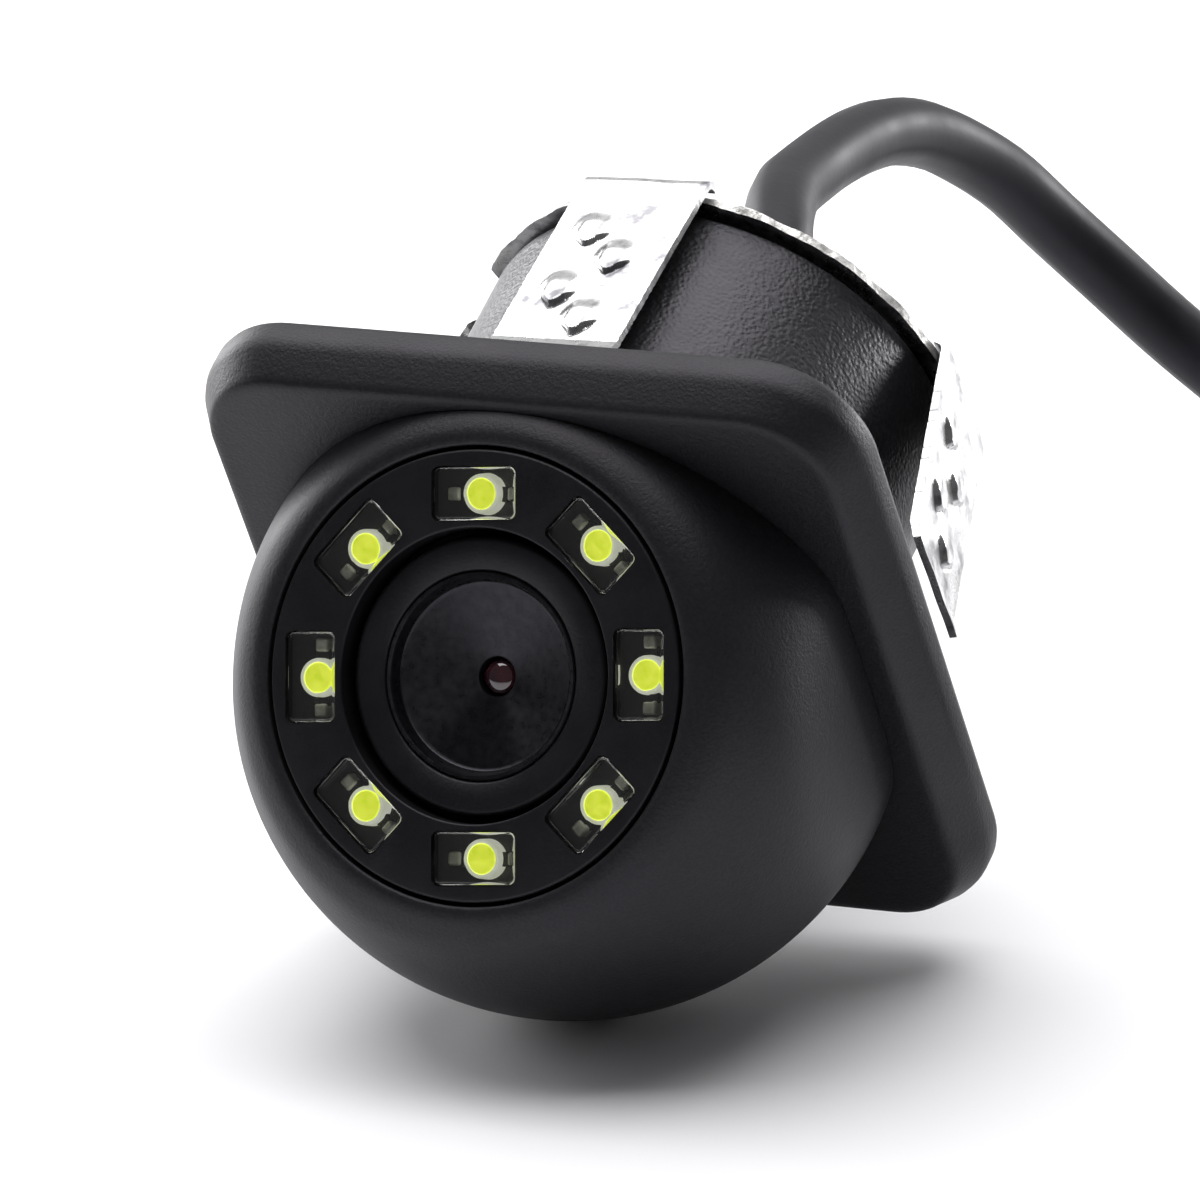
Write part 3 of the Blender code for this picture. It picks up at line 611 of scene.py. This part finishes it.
# Lead
def smooth_route(points, spacing):
    """Points at an even spacing on a smooth curve through the route's own points."""
    fine = []
    for i in range(len(points) - 1):
        a = Vector(points[max(i - 1, 0)])
        b = Vector(points[i])
        c = Vector(points[i + 1])
        d = Vector(points[min(i + 2, len(points) - 1)])
        for step in range(20):
            t = step / 20
            cubic = (3 * b - a - 3 * c + d) * t**3
            fine.append((2 * b + (c - a) * t + (2 * a - 5 * b + 4 * c - d) * t**2 + cubic) / 2)
    fine.append(Vector(points[-1]))
    total = sum((b - a).length for a, b in zip(fine, fine[1:]))
    count = round(total / spacing)
    even = [fine[0]]
    travelled = 0.0
    for a, b in zip(fine, fine[1:]):
        step = (b - a).length
        while len(even) < count and travelled + step >= total * len(even) / count:
            even.append(a.lerp(b, (total * len(even) / count - travelled) / step))
        travelled += step
    even.append(fine[-1])
    return even


def coil_points():
    """The turns, clockwise from above: in along the lower layer, then out along the upper one."""
    turns = len(COIL_LAYERS) + 0.25
    points = []
    count = round(turns * COIL_STEPS)
    for i in range(count + 1):
        turn = i / COIL_STEPS
        layer = min(int(turn), len(COIL_LAYERS) - 1)
        radius, height = COIL_LAYERS[layer]
        after = COIL_LAYERS[min(layer + 1, len(COIL_LAYERS) - 1)]
        step = soft_step((turn - layer - 0.86) / 0.14) if layer < len(COIL_LAYERS) - 1 else 0.0
        radius += (after[0] - radius) * step
        height += (after[1] - height) * step
        angle = math.pi / 2 - 2 * math.pi * turn
        points.append(COIL_CENTRE + Vector((radius * math.cos(angle), radius * math.sin(angle), height)))
    return points


def make_lead():
    path = smooth_route(CORD_ROUTE, 1.0) + coil_points() + smooth_route(TAIL_ROUTE, 1.0)
    curve = bpy.data.curves.new("lead", "CURVE")
    curve.dimensions = "3D"
    curve.bevel_depth = CORD_R * MM
    curve.bevel_resolution = 5
    curve.use_fill_caps = True
    spline = curve.splines.new("POLY")
    spline.points.add(len(path) - 1)
    for spot, point in zip(spline.points, path):
        spot.co = (*(point * MM), 1.0)
    spline.use_smooth = True
    curve.materials.append(MATERIALS["cord_jacket"])
    lead = bpy.data.objects.new("lead", curve)
    bpy.context.scene.collection.objects.link(lead)
    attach(lead, "camera")
    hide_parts("cord", "cord_coil", "cord_tail")
    length = sum((b - a).length for a, b in zip(path, path[1:])) * MM
    return lead, length


def make_camera():
    data = bpy.data.cameras.new("eye")
    data.lens = EYE_LENS
    data.sensor_width = 36.0
    data.clip_start = 0.01
    data.clip_end = 20.0
    eye = bpy.data.objects.new("eye", data)
    right = Vector(EYE_RIGHT)
    up = -Vector(EYE_DOWN)
    turn = Matrix((right, up, right.cross(up))).transposed().to_4x4()
    eye.matrix_world = Matrix.Translation(Vector(EYE_PLACE) * MM) @ turn
    bpy.context.scene.collection.objects.link(eye)
    bpy.context.scene.camera = eye


make_camera()
LEAD, LEAD_LENGTH = make_lead()


# Nose and flange
def nose_point(polar, turn):
    """Where a ray from a point on the face's axis leaves the ball, its cheeks and the lip's cone."""
    start = Vector((0.0, 0.0, -FACE_DEPTH))
    way = Vector((math.sin(polar) * math.cos(turn), math.sin(polar) * math.sin(turn), math.cos(polar)))
    centre = Matrix.Rotation(FACE_SLANT, 3, "X") @ (NOSE_CENTRE - FACE_CENTRE)
    offset = start - centre
    along = way.dot(offset)
    ball = -along + math.sqrt(along**2 - offset.length_squared + NOSE_R**2)
    rounded = ball**-NOSE_BLEND
    if abs(way.x) > 1e-4:
        rounded += (NOSE_CHEEK / abs(way.x)) ** -NOSE_BLEND
    reach = rounded ** (-1 / NOSE_BLEND)
    fall = math.tan(FACE_LIP_SLOPE)
    slope = math.cos(polar) + math.sin(polar) * fall
    if slope > 0.2:
        cone = (FACE_DEPTH + FACE_LIP_R * fall) / slope
        reach = (reach**-LIP_BLEND + cone**-LIP_BLEND) ** (-1 / LIP_BLEND)
    return start + way * reach


def make_nose():
    profile = [(FACE_BORE_R, -FACE_SEAT_DEEP), (FACE_SEAT_R, -FACE_SEAT_DEEP), (FACE_SEAT_R, -0.12)]
    profile += [(FACE_SEAT_R + 0.04, -0.05), (FACE_SEAT_R + 0.14, 0.0)]
    profile += [(FACE_LIP_R - 0.25, 0.0), (FACE_LIP_R - 0.05, -0.02)]
    rings = [circle(radius, z, NOSE_SEGMENTS) for radius, z in profile]
    first = math.atan2(FACE_LIP_R + 0.2, FACE_DEPTH - 0.1)
    for i in range(NOSE_RINGS):
        polar = first + (NOSE_BACK - first) * i / (NOSE_RINGS - 1)
        turns = [2 * math.pi * k / NOSE_SEGMENTS for k in range(NOSE_SEGMENTS)]
        rings.append([nose_point(polar, turn) for turn in turns])
    work = skin(rings)
    low = Matrix.Rotation(FACE_SLANT, 3, "X") @ (Vector((0.0, 0.0, 0.05)) - FACE_CENTRE)
    up = Matrix.Rotation(FACE_SLANT, 3, "X") @ Vector((0.0, 0.0, 1.0))
    geometry = list(work.verts) + list(work.edges) + list(work.faces)
    bmesh.ops.bisect_plane(work, geom=geometry, plane_co=low, plane_no=up, clear_inner=True)
    piece("nose", work, FACE, ["matte_black"], ["nose_housing"], smooth=50.0)


def make_flange():
    back = -FLANGE_THICK
    deep = -FLANGE_BEVEL_DEEP
    profile = [(0.5, back)]
    profile += [(0.5 - 0.5 * math.sin(a), back + 0.5 - 0.5 * math.cos(a)) for a in (0.5, 1.0, 1.57)]
    profile += [(0.0, deep - 0.35), (0.015, deep - 0.12), (0.07, deep + 0.08)]
    slope = FLANGE_BEVEL_IN / FLANGE_BEVEL_DEEP
    profile += [(0.22 * slope + 0.03, deep + 0.32), (FLANGE_BEVEL_IN - 0.42 * slope, -0.42)]
    profile += [(FLANGE_BEVEL_IN - 0.12, -0.2), (FLANGE_BEVEL_IN + 0.03, -0.06)]
    profile += [(FLANGE_BEVEL_IN + 0.25, -0.005), (FLANGE_BEVEL_IN + 0.5, 0.0)]
    rings = []
    for inset, z in profile:
        side = FLANGE_SIDE - 2 * inset
        rings.append([(x, y, z) for x, y in rounded_rectangle(side, side, FLANGE_CORNER_R - inset, 20)])
    work = skin(rings)
    work.verts.ensure_lookup_table()
    count = len(rings[0])
    work.faces.new([work.verts[i] for i in range(count)][::-1])
    work.faces.new([work.verts[len(work.verts) - count + i] for i in range(count)])
    piece("flange_plate", work, BODY, ["matte_black"], ["flange"], smooth=60.0)


# Barrel and rear
def make_barrel():
    front = -FLANGE_THICK - 0.02
    end = -BARREL_END - 0.2
    profile = [(BARREL_R, front)] + arc((BARREL_R - 0.2, end + 0.2), 0.2, 0, -90, 6)
    profile += [(BARREL_R - 1.3, end), (BARREL_R - 1.3, front)]
    piece("barrel_shell", lathe(profile, 160), BODY, ["barrel_black"], ["barrel"])


def make_rear():
    back = -CLIP_FRONT + 0.03
    bore = CORD_R + 0.9
    profile = [(bore, -BOSS_END), (BOSS_R - 0.3, -BOSS_END), (BOSS_R, -BOSS_END + 0.3)]
    profile += [(BOSS_R, back), (COVER_R, back), (COVER_R, -15.5), (bore, -15.5)]
    piece("rear_plate", lathe(profile, 96), BODY, ["barrel_black"], ["rear_cover"])
    low = -CLIP_FRONT - CLIP_THICK - 0.05
    outline = rounded_rectangle(15.0, 15.0, 4.2, 10)
    rings = []
    for inset, z in ((0.0, low), (0.0, low - 1.25), (0.1, low - 1.45), (0.35, low - 1.6)):
        shrink = 1 - inset / 7.5
        rings.append([(x * shrink, y * shrink, z) for x, y in outline])
    for radius, z in ((BOSS_R + 0.08, low - 1.6), (BOSS_R + 0.08, low)):
        ring = []
        for x, y in outline:
            scale = radius / math.hypot(x, y)
            ring.append((x * scale, y * scale, z))
        rings.append(ring)
    piece("retaining_nut", skin(rings, True), BODY, ["barrel_black"], ["rear_nut"])
    bore = CORD_R + 0.02
    profile = [(bore, -15.0), (bore + 0.75, -15.0), (bore + 0.75, -BOSS_END - 0.05)]
    profile += arc((bore + 0.95, -BOSS_END - 0.4), 0.35, 90, -60, 6)
    profile += [(bore + 0.5, -GROMMET_END + 0.6), (bore + 0.3, -GROMMET_END + 0.08)]
    profile += [(bore + 0.2, -GROMMET_END), (bore, -GROMMET_END)]
    piece("strain_relief", lathe(profile, 64), BODY, ["rubber"], ["cord_grommet"])


# Spring clip
def make_clip_ring():
    """The washer's rim was sheared, so it is a little uneven, and its web is narrower by the left leg."""
    low = -CLIP_FRONT - CLIP_THICK
    rings = []
    count = 360
    for radius, z in ((CLIP_HOLE_R, low), (CLIP_R, low), (CLIP_R, -CLIP_FRONT), (CLIP_HOLE_R, -CLIP_FRONT)):
        ring = []
        for i in range(count):
            angle = 2 * math.pi * i / count
            rim = radius
            if radius > CLIP_HOLE_R:
                across, up = math.cos(angle), math.sin(angle)
                rough = noise.noise(Vector((across * 9, up * 9, z * 2)))
                fine = noise.noise(Vector((across * 31, up * 31, z)))
                turn = math.degrees(angle)
                dip = soft_step((turn - WEB_DIP[0]) / 2) * soft_step((WEB_DIP[1] - turn) / 2)
                rim -= WEB_DIP_DEEP * dip
                rim += 0.1 + 0.14 * rough + 0.05 * fine
            ring.append((rim * math.cos(angle), rim * math.sin(angle), z))
        rings.append(ring)
    work = skin(rings, True)
    for face in work.faces:
        face.material_index = int(face.calc_center_median().xy.length > CLIP_R - 0.4)
    piece("clip_washer", work, BODY, ["spring_steel", "sheared_edge"], ["clip_ring"])


def barb_height(along, across):
    """The pressed teeth: each rises from the back and drops at a sharp V towards the flange."""
    height = 0.0
    for start, middle in BARBS:
        side = abs(across - middle) / BARB_HALF
        if side >= 1.0:
            continue
        front = 1.06 - 0.5 * math.sqrt(side**2 + 0.015)
        part = (along - start) / BARB_LONG
        edge = min(max((part - front) / 0.06, 0.0), 1.0)
        rise = soft_step((part - 0.25 * side**2) / 0.45) * (0.4 + 0.6 * max(min(part / front, 1.0), 0.0))
        dome = BARB_HIGH * rise * soft_step((1 - side) / 0.6)
        slit = 0.06 * (1 - side**2) * max(1.0 - abs(part - front - 0.08) / 0.06, 0.0)
        height = max(height, dome * (1 - edge)) - slit
    return height


def leg_line(side):
    """Places and outward directions along the leg's outer face, from its bend to its tip, with distances."""
    flare = LEG_FLARE[side]
    low = -CLIP_FRONT - CLIP_THICK - LEG_THICK - 0.07
    centre = (LEG_ROOT_R[side] - LEG_BEND_R, low + LEG_BEND_R)
    line = []
    for x, z in arc(centre, LEG_BEND_R, 265, 360 - flare, 14):
        away = Vector((x - centre[0], z - centre[1])).normalized()
        line.append((Vector((x, z)), away, None))
    way = Vector((math.sin(math.radians(flare)), math.cos(math.radians(flare))))
    away = Vector((way.y, -way.x))
    start = line[-1][0]
    length = (-LEG_TIP - start.y) / way.y
    for i in range(1, LEG_STEPS + 1):
        along = length * i / LEG_STEPS
        kink = max(along - (length - LEG_KINK_LONG), 0.0) / LEG_KINK_LONG
        line.append((start + way * along + away * 0.3 * kink, away, along))
    return line


def make_leg(side):
    """A strip with pressed teeth, from the washer's bend to its tip."""
    last = LEG_COLUMNS - 1
    across = [LEG_WIDTH * (k / last - 0.5) for k in range(LEG_COLUMNS)]
    work = bmesh.new()
    outer, inner = [], []
    for index, (place, away, along) in enumerate(leg_line(side)):
        rough = 0.04 * noise.noise(Vector((index * 0.3, LEG_TURN[side], 0.0)))
        front, behind = [], []
        for y in across:
            lift = 0.0 if along is None else barb_height(along, y)
            lift += 0.03 * noise.noise(Vector((index * 0.06, y * 0.7, LEG_TURN[side])))
            edge = y + (rough if abs(y) > LEG_WIDTH / 2 - 0.01 else 0.0)
            spot = place + away * lift
            back = place + away * (0.55 * lift - LEG_THICK)
            front.append(work.verts.new((spot.x, edge, spot.y)))
            behind.append(work.verts.new((back.x, edge, back.y)))
        outer.append(front)
        inner.append(behind)
    for i in range(len(outer) - 1):
        for k in range(last):
            work.faces.new((outer[i][k], outer[i][k + 1], outer[i + 1][k + 1], outer[i + 1][k]))
            work.faces.new((inner[i][k], inner[i + 1][k], inner[i + 1][k + 1], inner[i][k + 1]))
        work.faces.new((outer[i][0], outer[i + 1][0], inner[i + 1][0], inner[i][0]))
        work.faces.new((outer[i][last], inner[i][last], inner[i + 1][last], outer[i + 1][last]))
    for k in range(last):
        work.faces.new((outer[0][k], inner[0][k], inner[0][k + 1], outer[0][k + 1]))
        work.faces.new((outer[-1][k], outer[-1][k + 1], inner[-1][k + 1], inner[-1][k]))
    nodes = ["clip_leg_" + side]
    piece("spring_leg_" + side, work, leg_frame(side), ["spring_steel"], nodes, "leg_" + side)


# Lit ring
def led_turn(number):
    return LED_RING_TURN + math.pi / 2 - number * 2 * math.pi / LED_COUNT


def make_bezel():
    profile = arc((BEZEL_BORE_R + 0.12, -0.12), 0.12, 180, 90, 4)
    profile += arc((BEZEL_R - 0.15, -0.15), 0.15, 90, 0, 4)
    profile += [(BEZEL_R, -1.6), (BEZEL_R - 0.27, -1.6), (BEZEL_R - 0.27, -0.45)]
    profile += [(BEZEL_BORE_R + 0.27, -0.45), (BEZEL_BORE_R + 0.27, -1.6), (BEZEL_BORE_R, -1.6)]
    bezel = piece("lamp_bezel", lathe(profile, 180), FACE, ["satin_black"], ["led_bezel"])
    cutters = []
    for i in range(LED_COUNT):
        hole = slab(WINDOW_WIDE, WINDOW_LONG, 0.35, -0.9, 0.9, 0.05, (LED_CIRCLE_R, 0.0))
        cutters.append((hole, ring_frame(led_turn(i))))
    cut(bezel, cutters)


def make_windows():
    """Clear ring behind the bezel, whose pads fill the bezel's windows."""
    ring = lathe([(6.9, -0.8), (9.42, -0.8), (9.42, -0.5), (6.9, -0.5)], 128)
    piece("window_ring", ring, FACE, ["clear_plastic"], ["led_window_ring"])
    for i in range(LED_COUNT):
        pad = slab(WINDOW_WIDE - 0.14, WINDOW_LONG - 0.14, 0.3, -0.49, -0.06, 0.14, (LED_CIRCLE_R, 0.0))
        piece("window_pad_%d" % (i + 1), pad, ring_frame(led_turn(i)), ["clear_plastic"], [])


def make_lamp(number):
    """A lamp: dark neck, pale rim, phosphor disc and a soldered contact at each end."""
    work = bmesh.new()
    board = LED_BOARD_TOP
    middle = (LED_CIRCLE_R, 0.0)
    faces = []

    def parts(look):
        for face in list(work.faces)[len(faces) :]:
            face.material_index = look
            faces.append(face)

    slab(0.62, 2.5, 0.1, board, board + 0.32, 0.05, middle, 4, work)
    parts(0)
    rim = [(0.0, board), (0.84, board), (0.84, LED_TOP - 0.16)] + arc((0.76, LED_TOP - 0.16), 0.08, 0, 90, 3)
    rim += [(0.68, LED_TOP - 0.1), (0.66, LED_TOP - 0.16), (0.0, LED_TOP - 0.16)]
    skin([circle(r, z, 40, middle) for r, z in rim], work=work)
    parts(1)
    disc = [(0.66, LED_TOP - 0.15), (0.60, LED_TOP - 0.08), (0.4, LED_TOP - 0.05), (0.0, LED_TOP - 0.04)]
    skin([circle(r, z, 40, middle) for r, z in disc], work=work)
    parts(2)
    for way in (-1, 1):
        place = (LED_CIRCLE_R, way * 1.4)
        slab(0.56, 0.56, 0.1, board, board + 0.5, 0.1, place, 4, work)
    parts(3)
    looks = ["board_black", "lamp_body", "phosphor", "solder_tab"]
    name = "lamp_%d" % (number + 1)
    piece(name, work, ring_frame(led_turn(number)), looks, ["led_%d" % (number + 1)])


def make_board():
    board = LED_BOARD_TOP
    profile = [(6.75, board - 0.6), (9.75, board - 0.6), (9.75, board), (6.75, board)]
    piece("lamp_board", lathe(profile, 128), FACE, ["board_black"], ["led_board"])


# Lens
def make_lens():
    top = HOLDER_TOP
    profile = [(HOOD_R + 0.04, -3.2), (HOOD_R + 0.04, top - 0.12), (HOOD_R + 0.16, top)]
    profile += arc((HOLDER_R - 0.28, top - 0.28), 0.28, 90, 0, 6) + [(HOLDER_R, -3.2)]
    holder = skin([circle(r, z, 144) for r, z in profile])
    piece("lens_bezel", holder, FACE, ["satin_black"], ["lens_holder"], smooth=50.0)
    make_hood(top)
    dome = [(0.0, -2.40), (0.3, -2.43), (0.55, -2.52), (0.72, -2.64)]
    dome += [(LENS_R, -2.8), (LENS_R, -3.3), (0.0, -3.3)]
    piece("front_lens", lathe(dome, 64), FACE, ["lens_glass"], ["lens_front_glass"])


def make_hood(top):
    """Turned cone from the lip down to the glass, with a UV map that runs round it."""
    profile = [(HOOD_R, top - 0.12), (HOOD_R - 0.06, top - 0.05), (HOOD_R - 0.2, top - 0.05)]
    profile += [(4.3, -0.8), (4.22, -1.25), (4.12, -1.34)]
    steps = 56
    for i in range(steps + 1):
        part = i / steps
        groove = 0.012 * (i % 2)
        profile.append((4.05 - 3.15 * part, -1.36 - 1.05 * part - groove))
    profile += [(LENS_R + 0.05, -2.48), (LENS_R + 0.05, -3.2)]
    segments = 180
    work = skin([circle(r, z, segments) for r, z in profile])
    layer = work.loops.layers.uv.new("turning")
    for face in work.faces:
        for loop in face.loops:
            spot = loop.vert.co
            turn = math.atan2(spot.y, spot.x) / (2 * math.pi)
            middle = face.calc_center_median()
            near = math.atan2(middle.y, middle.x) / (2 * math.pi)
            if turn - near > 0.5:
                turn -= 1.0
            if near - turn > 0.5:
                turn += 1.0
            loop[layer].uv = (turn * 8, math.hypot(spot.x, spot.y))
    piece("lens_cone", work, FACE, ["hood_metal"], ["lens_hood"], smooth=45.0)


# What is on the lead
def make_tie():
    """A soft strap round the bundle of turns."""
    work = bmesh.new()
    middle, height = TIE_MIDDLE
    outline = rounded_rectangle(TIE_ACROSS, TIE_HIGH, 1.9, 8, TIE_MIDDLE)
    rings = []
    for grow, y in ((0.0, -1.6), (0.22, -1.45), (0.3, -1.0), (0.3, 1.0), (0.22, 1.45), (0.0, 1.6)):
        wide = (TIE_ACROSS + 2 * grow - 0.6) / TIE_ACROSS
        high = (TIE_HIGH + 2 * grow - 0.6) / TIE_HIGH
        rings.append([(middle + (x - middle) * wide, y, height + (z - height) * high) for x, z in outline])
    skin(rings, work=work)
    place = Matrix.Translation(COIL_CENTRE) @ Matrix.Rotation(TIE_TURN, 4, "Z")
    strap = piece("lead_tie", work, place, ["rubber"], ["cord_tie"], smooth=50.0)
    modifier = strap.modifiers.new("thickness", "SOLIDIFY")
    modifier.thickness = 0.0003
    modifier.offset = -1.0
    return strap


def connector_frame():
    return Matrix.Translation(CONNECTOR_PLACE) @ Matrix.Rotation(math.pi / 2, 4, "X")


def make_connector():
    place = connector_frame()
    bore = CORD_R + 0.02
    boot = [(bore, 0.0), (bore + 0.6, 0.0), (bore + 0.85, 0.2)]
    for i in range(5):
        low = 0.9 + i * 1.15
        radius = bore + 0.85 + 0.16 * i
        boot += [(radius, low), (radius - 0.35, low + 0.12)]
        boot += [(radius - 0.35, low + 0.5), (radius + 0.1, low + 0.62)]
    boot += [(3.3, 6.7), (3.6, 7.0), (3.6, 7.5), (bore, 7.5)]
    pieces = [piece("plug_boot", lathe(boot, 64), place, ["rubber"], ["connector_boot"])]
    shell = [(0.0, 7.52), (4.1, 7.52), (4.3, 7.7), (4.3, 9.2), (4.75, 9.2), (4.9, 9.35), (4.9, 10.15)]
    shell += [(4.75, 10.3), (4.3, 10.3), (4.3, 15.9), (3.7, 16.0), (3.7, 22.3), (3.5, 22.5), (3.0, 22.5)]
    shell += [(2.9, 22.4), (2.9, 16.5), (0.0, 16.5)]
    work = lathe(shell, 96)
    pieces.append(piece("plug_shell", work, place, ["gloss_black"], ["connector_shell"]))
    rings = []
    for low, shrink in ((10.5, 0.25), (10.75, 0.0), (15.25, 0.0), (15.5, 0.25)):
        ring = []
        for i in range(240):
            angle = 2 * math.pi * i / 240
            radius = 5.22 + 0.16 * math.cos(angle * 30) - shrink
            ring.append((radius * math.cos(angle), radius * math.sin(angle), low))
        rings.append(ring)
    rings += [circle(4.38, 15.5, 240), circle(4.38, 10.5, 240)]
    collar = skin(rings, True)
    piece("plug_collar", collar, place, ["satin_black"], ["connector_collar"], "coupling")
    return pieces


def finish_cad_nodes():
    """The pieces whose CAD shape is right keep it, and get their finished material."""
    slots = {part["node"]: part["material_slot"] for part in frame["record"]["subparts"]}
    for name, obj in frame["nodes"].items():
        # Nodes without a finished material fall back on lamp_body, and so carry its painted glow.
        look = MATERIALS[slots[name]] if slots[name] in MATERIALS else MATERIALS["lamp_body"]
        obj.data.materials.clear()
        obj.data.materials.append(look)


# Light and stage
def area_light(name, place, target, size, power):
    data = bpy.data.lights.new(name, "AREA")
    data.shape = "RECTANGLE"
    data.size = size[0]
    data.size_y = size[1]
    data.energy = power
    lamp = bpy.data.objects.new(name, data)
    lamp.location = place
    way = Vector(target) - Vector(place)
    lamp.rotation_euler = way.to_track_quat("-Z", "Y").to_euler()
    bpy.context.scene.collection.objects.link(lamp)


def make_stage():
    work = bmesh.new()
    bmesh.ops.create_grid(work, x_segments=1, y_segments=1, size=FLOOR_SIZE)
    mesh = bpy.data.meshes.new("table")
    work.to_mesh(mesh)
    work.free()
    n = Nodes("table_white")
    middle = n.add("ShaderNodeVectorMath", operation="SUBTRACT")
    middle.inputs[1].default_value = FLOOR_MIDDLE
    n.link(n.where, middle.inputs[0])
    away = n.add("ShaderNodeVectorMath", operation="LENGTH")
    n.link(middle.outputs["Vector"], away.inputs[0])
    # painted shade: the floor turns grey away from the view, in place of dark surroundings that the black
    # sides would reflect
    white, grey = (0.93, 0.925, 0.945), (0.42, 0.42, 0.43)
    colour = n.colours(away.outputs["Value"], white, grey, FLOOR_WHITE_TO, FLOOR_GREY_FROM)
    material = n.use(Base_Color=colour, Roughness=n.ramp(n.noise(6.0, 2.0), 0.55, 0.6))
    mesh.materials.append(material)
    table = bpy.data.objects.new("table", mesh)
    bpy.context.scene.collection.objects.link(table)


def make_light():
    world = bpy.data.worlds.new("studio")
    bpy.context.scene.world = world
    world.use_nodes = True
    background = world.node_tree.nodes["Background"]
    background.inputs["Color"].default_value = (0.97, 0.97, 1.0, 1.0)
    background.inputs["Strength"].default_value = WORLD_STRENGTH
    area_light("top_box", (-0.08, 0.16, 0.7), (0, 0, 0.02), (1.0, 0.8), 9.4)
    area_light("back_box", (-0.1, 1.2, 0.4), (0, 0, 0.05), (1.8, 0.8), 3.0)
    area_light("left_box", (-0.5, 0.2, 0.14), (0, 0, 0.02), (0.4, 0.24), 2.4)
    area_light("right_box", (0.3, 0.6, 0.08), (0, 0, 0.02), (0.3, 0.14), 2.4)
    bpy.context.scene.view_settings.view_transform = "Standard"


def main():
    finish_cad_nodes()
    make_nose()
    make_flange()
    make_barrel()
    make_rear()
    make_clip_ring()
    for side in LEG_TURN:
        make_leg(side)
    make_bezel()
    make_windows()
    make_board()
    for number in range(LED_COUNT):
        make_lamp(number)
    make_lens()
    on_lead = [make_tie()] + make_connector()
    make_stage()
    make_light()


main()
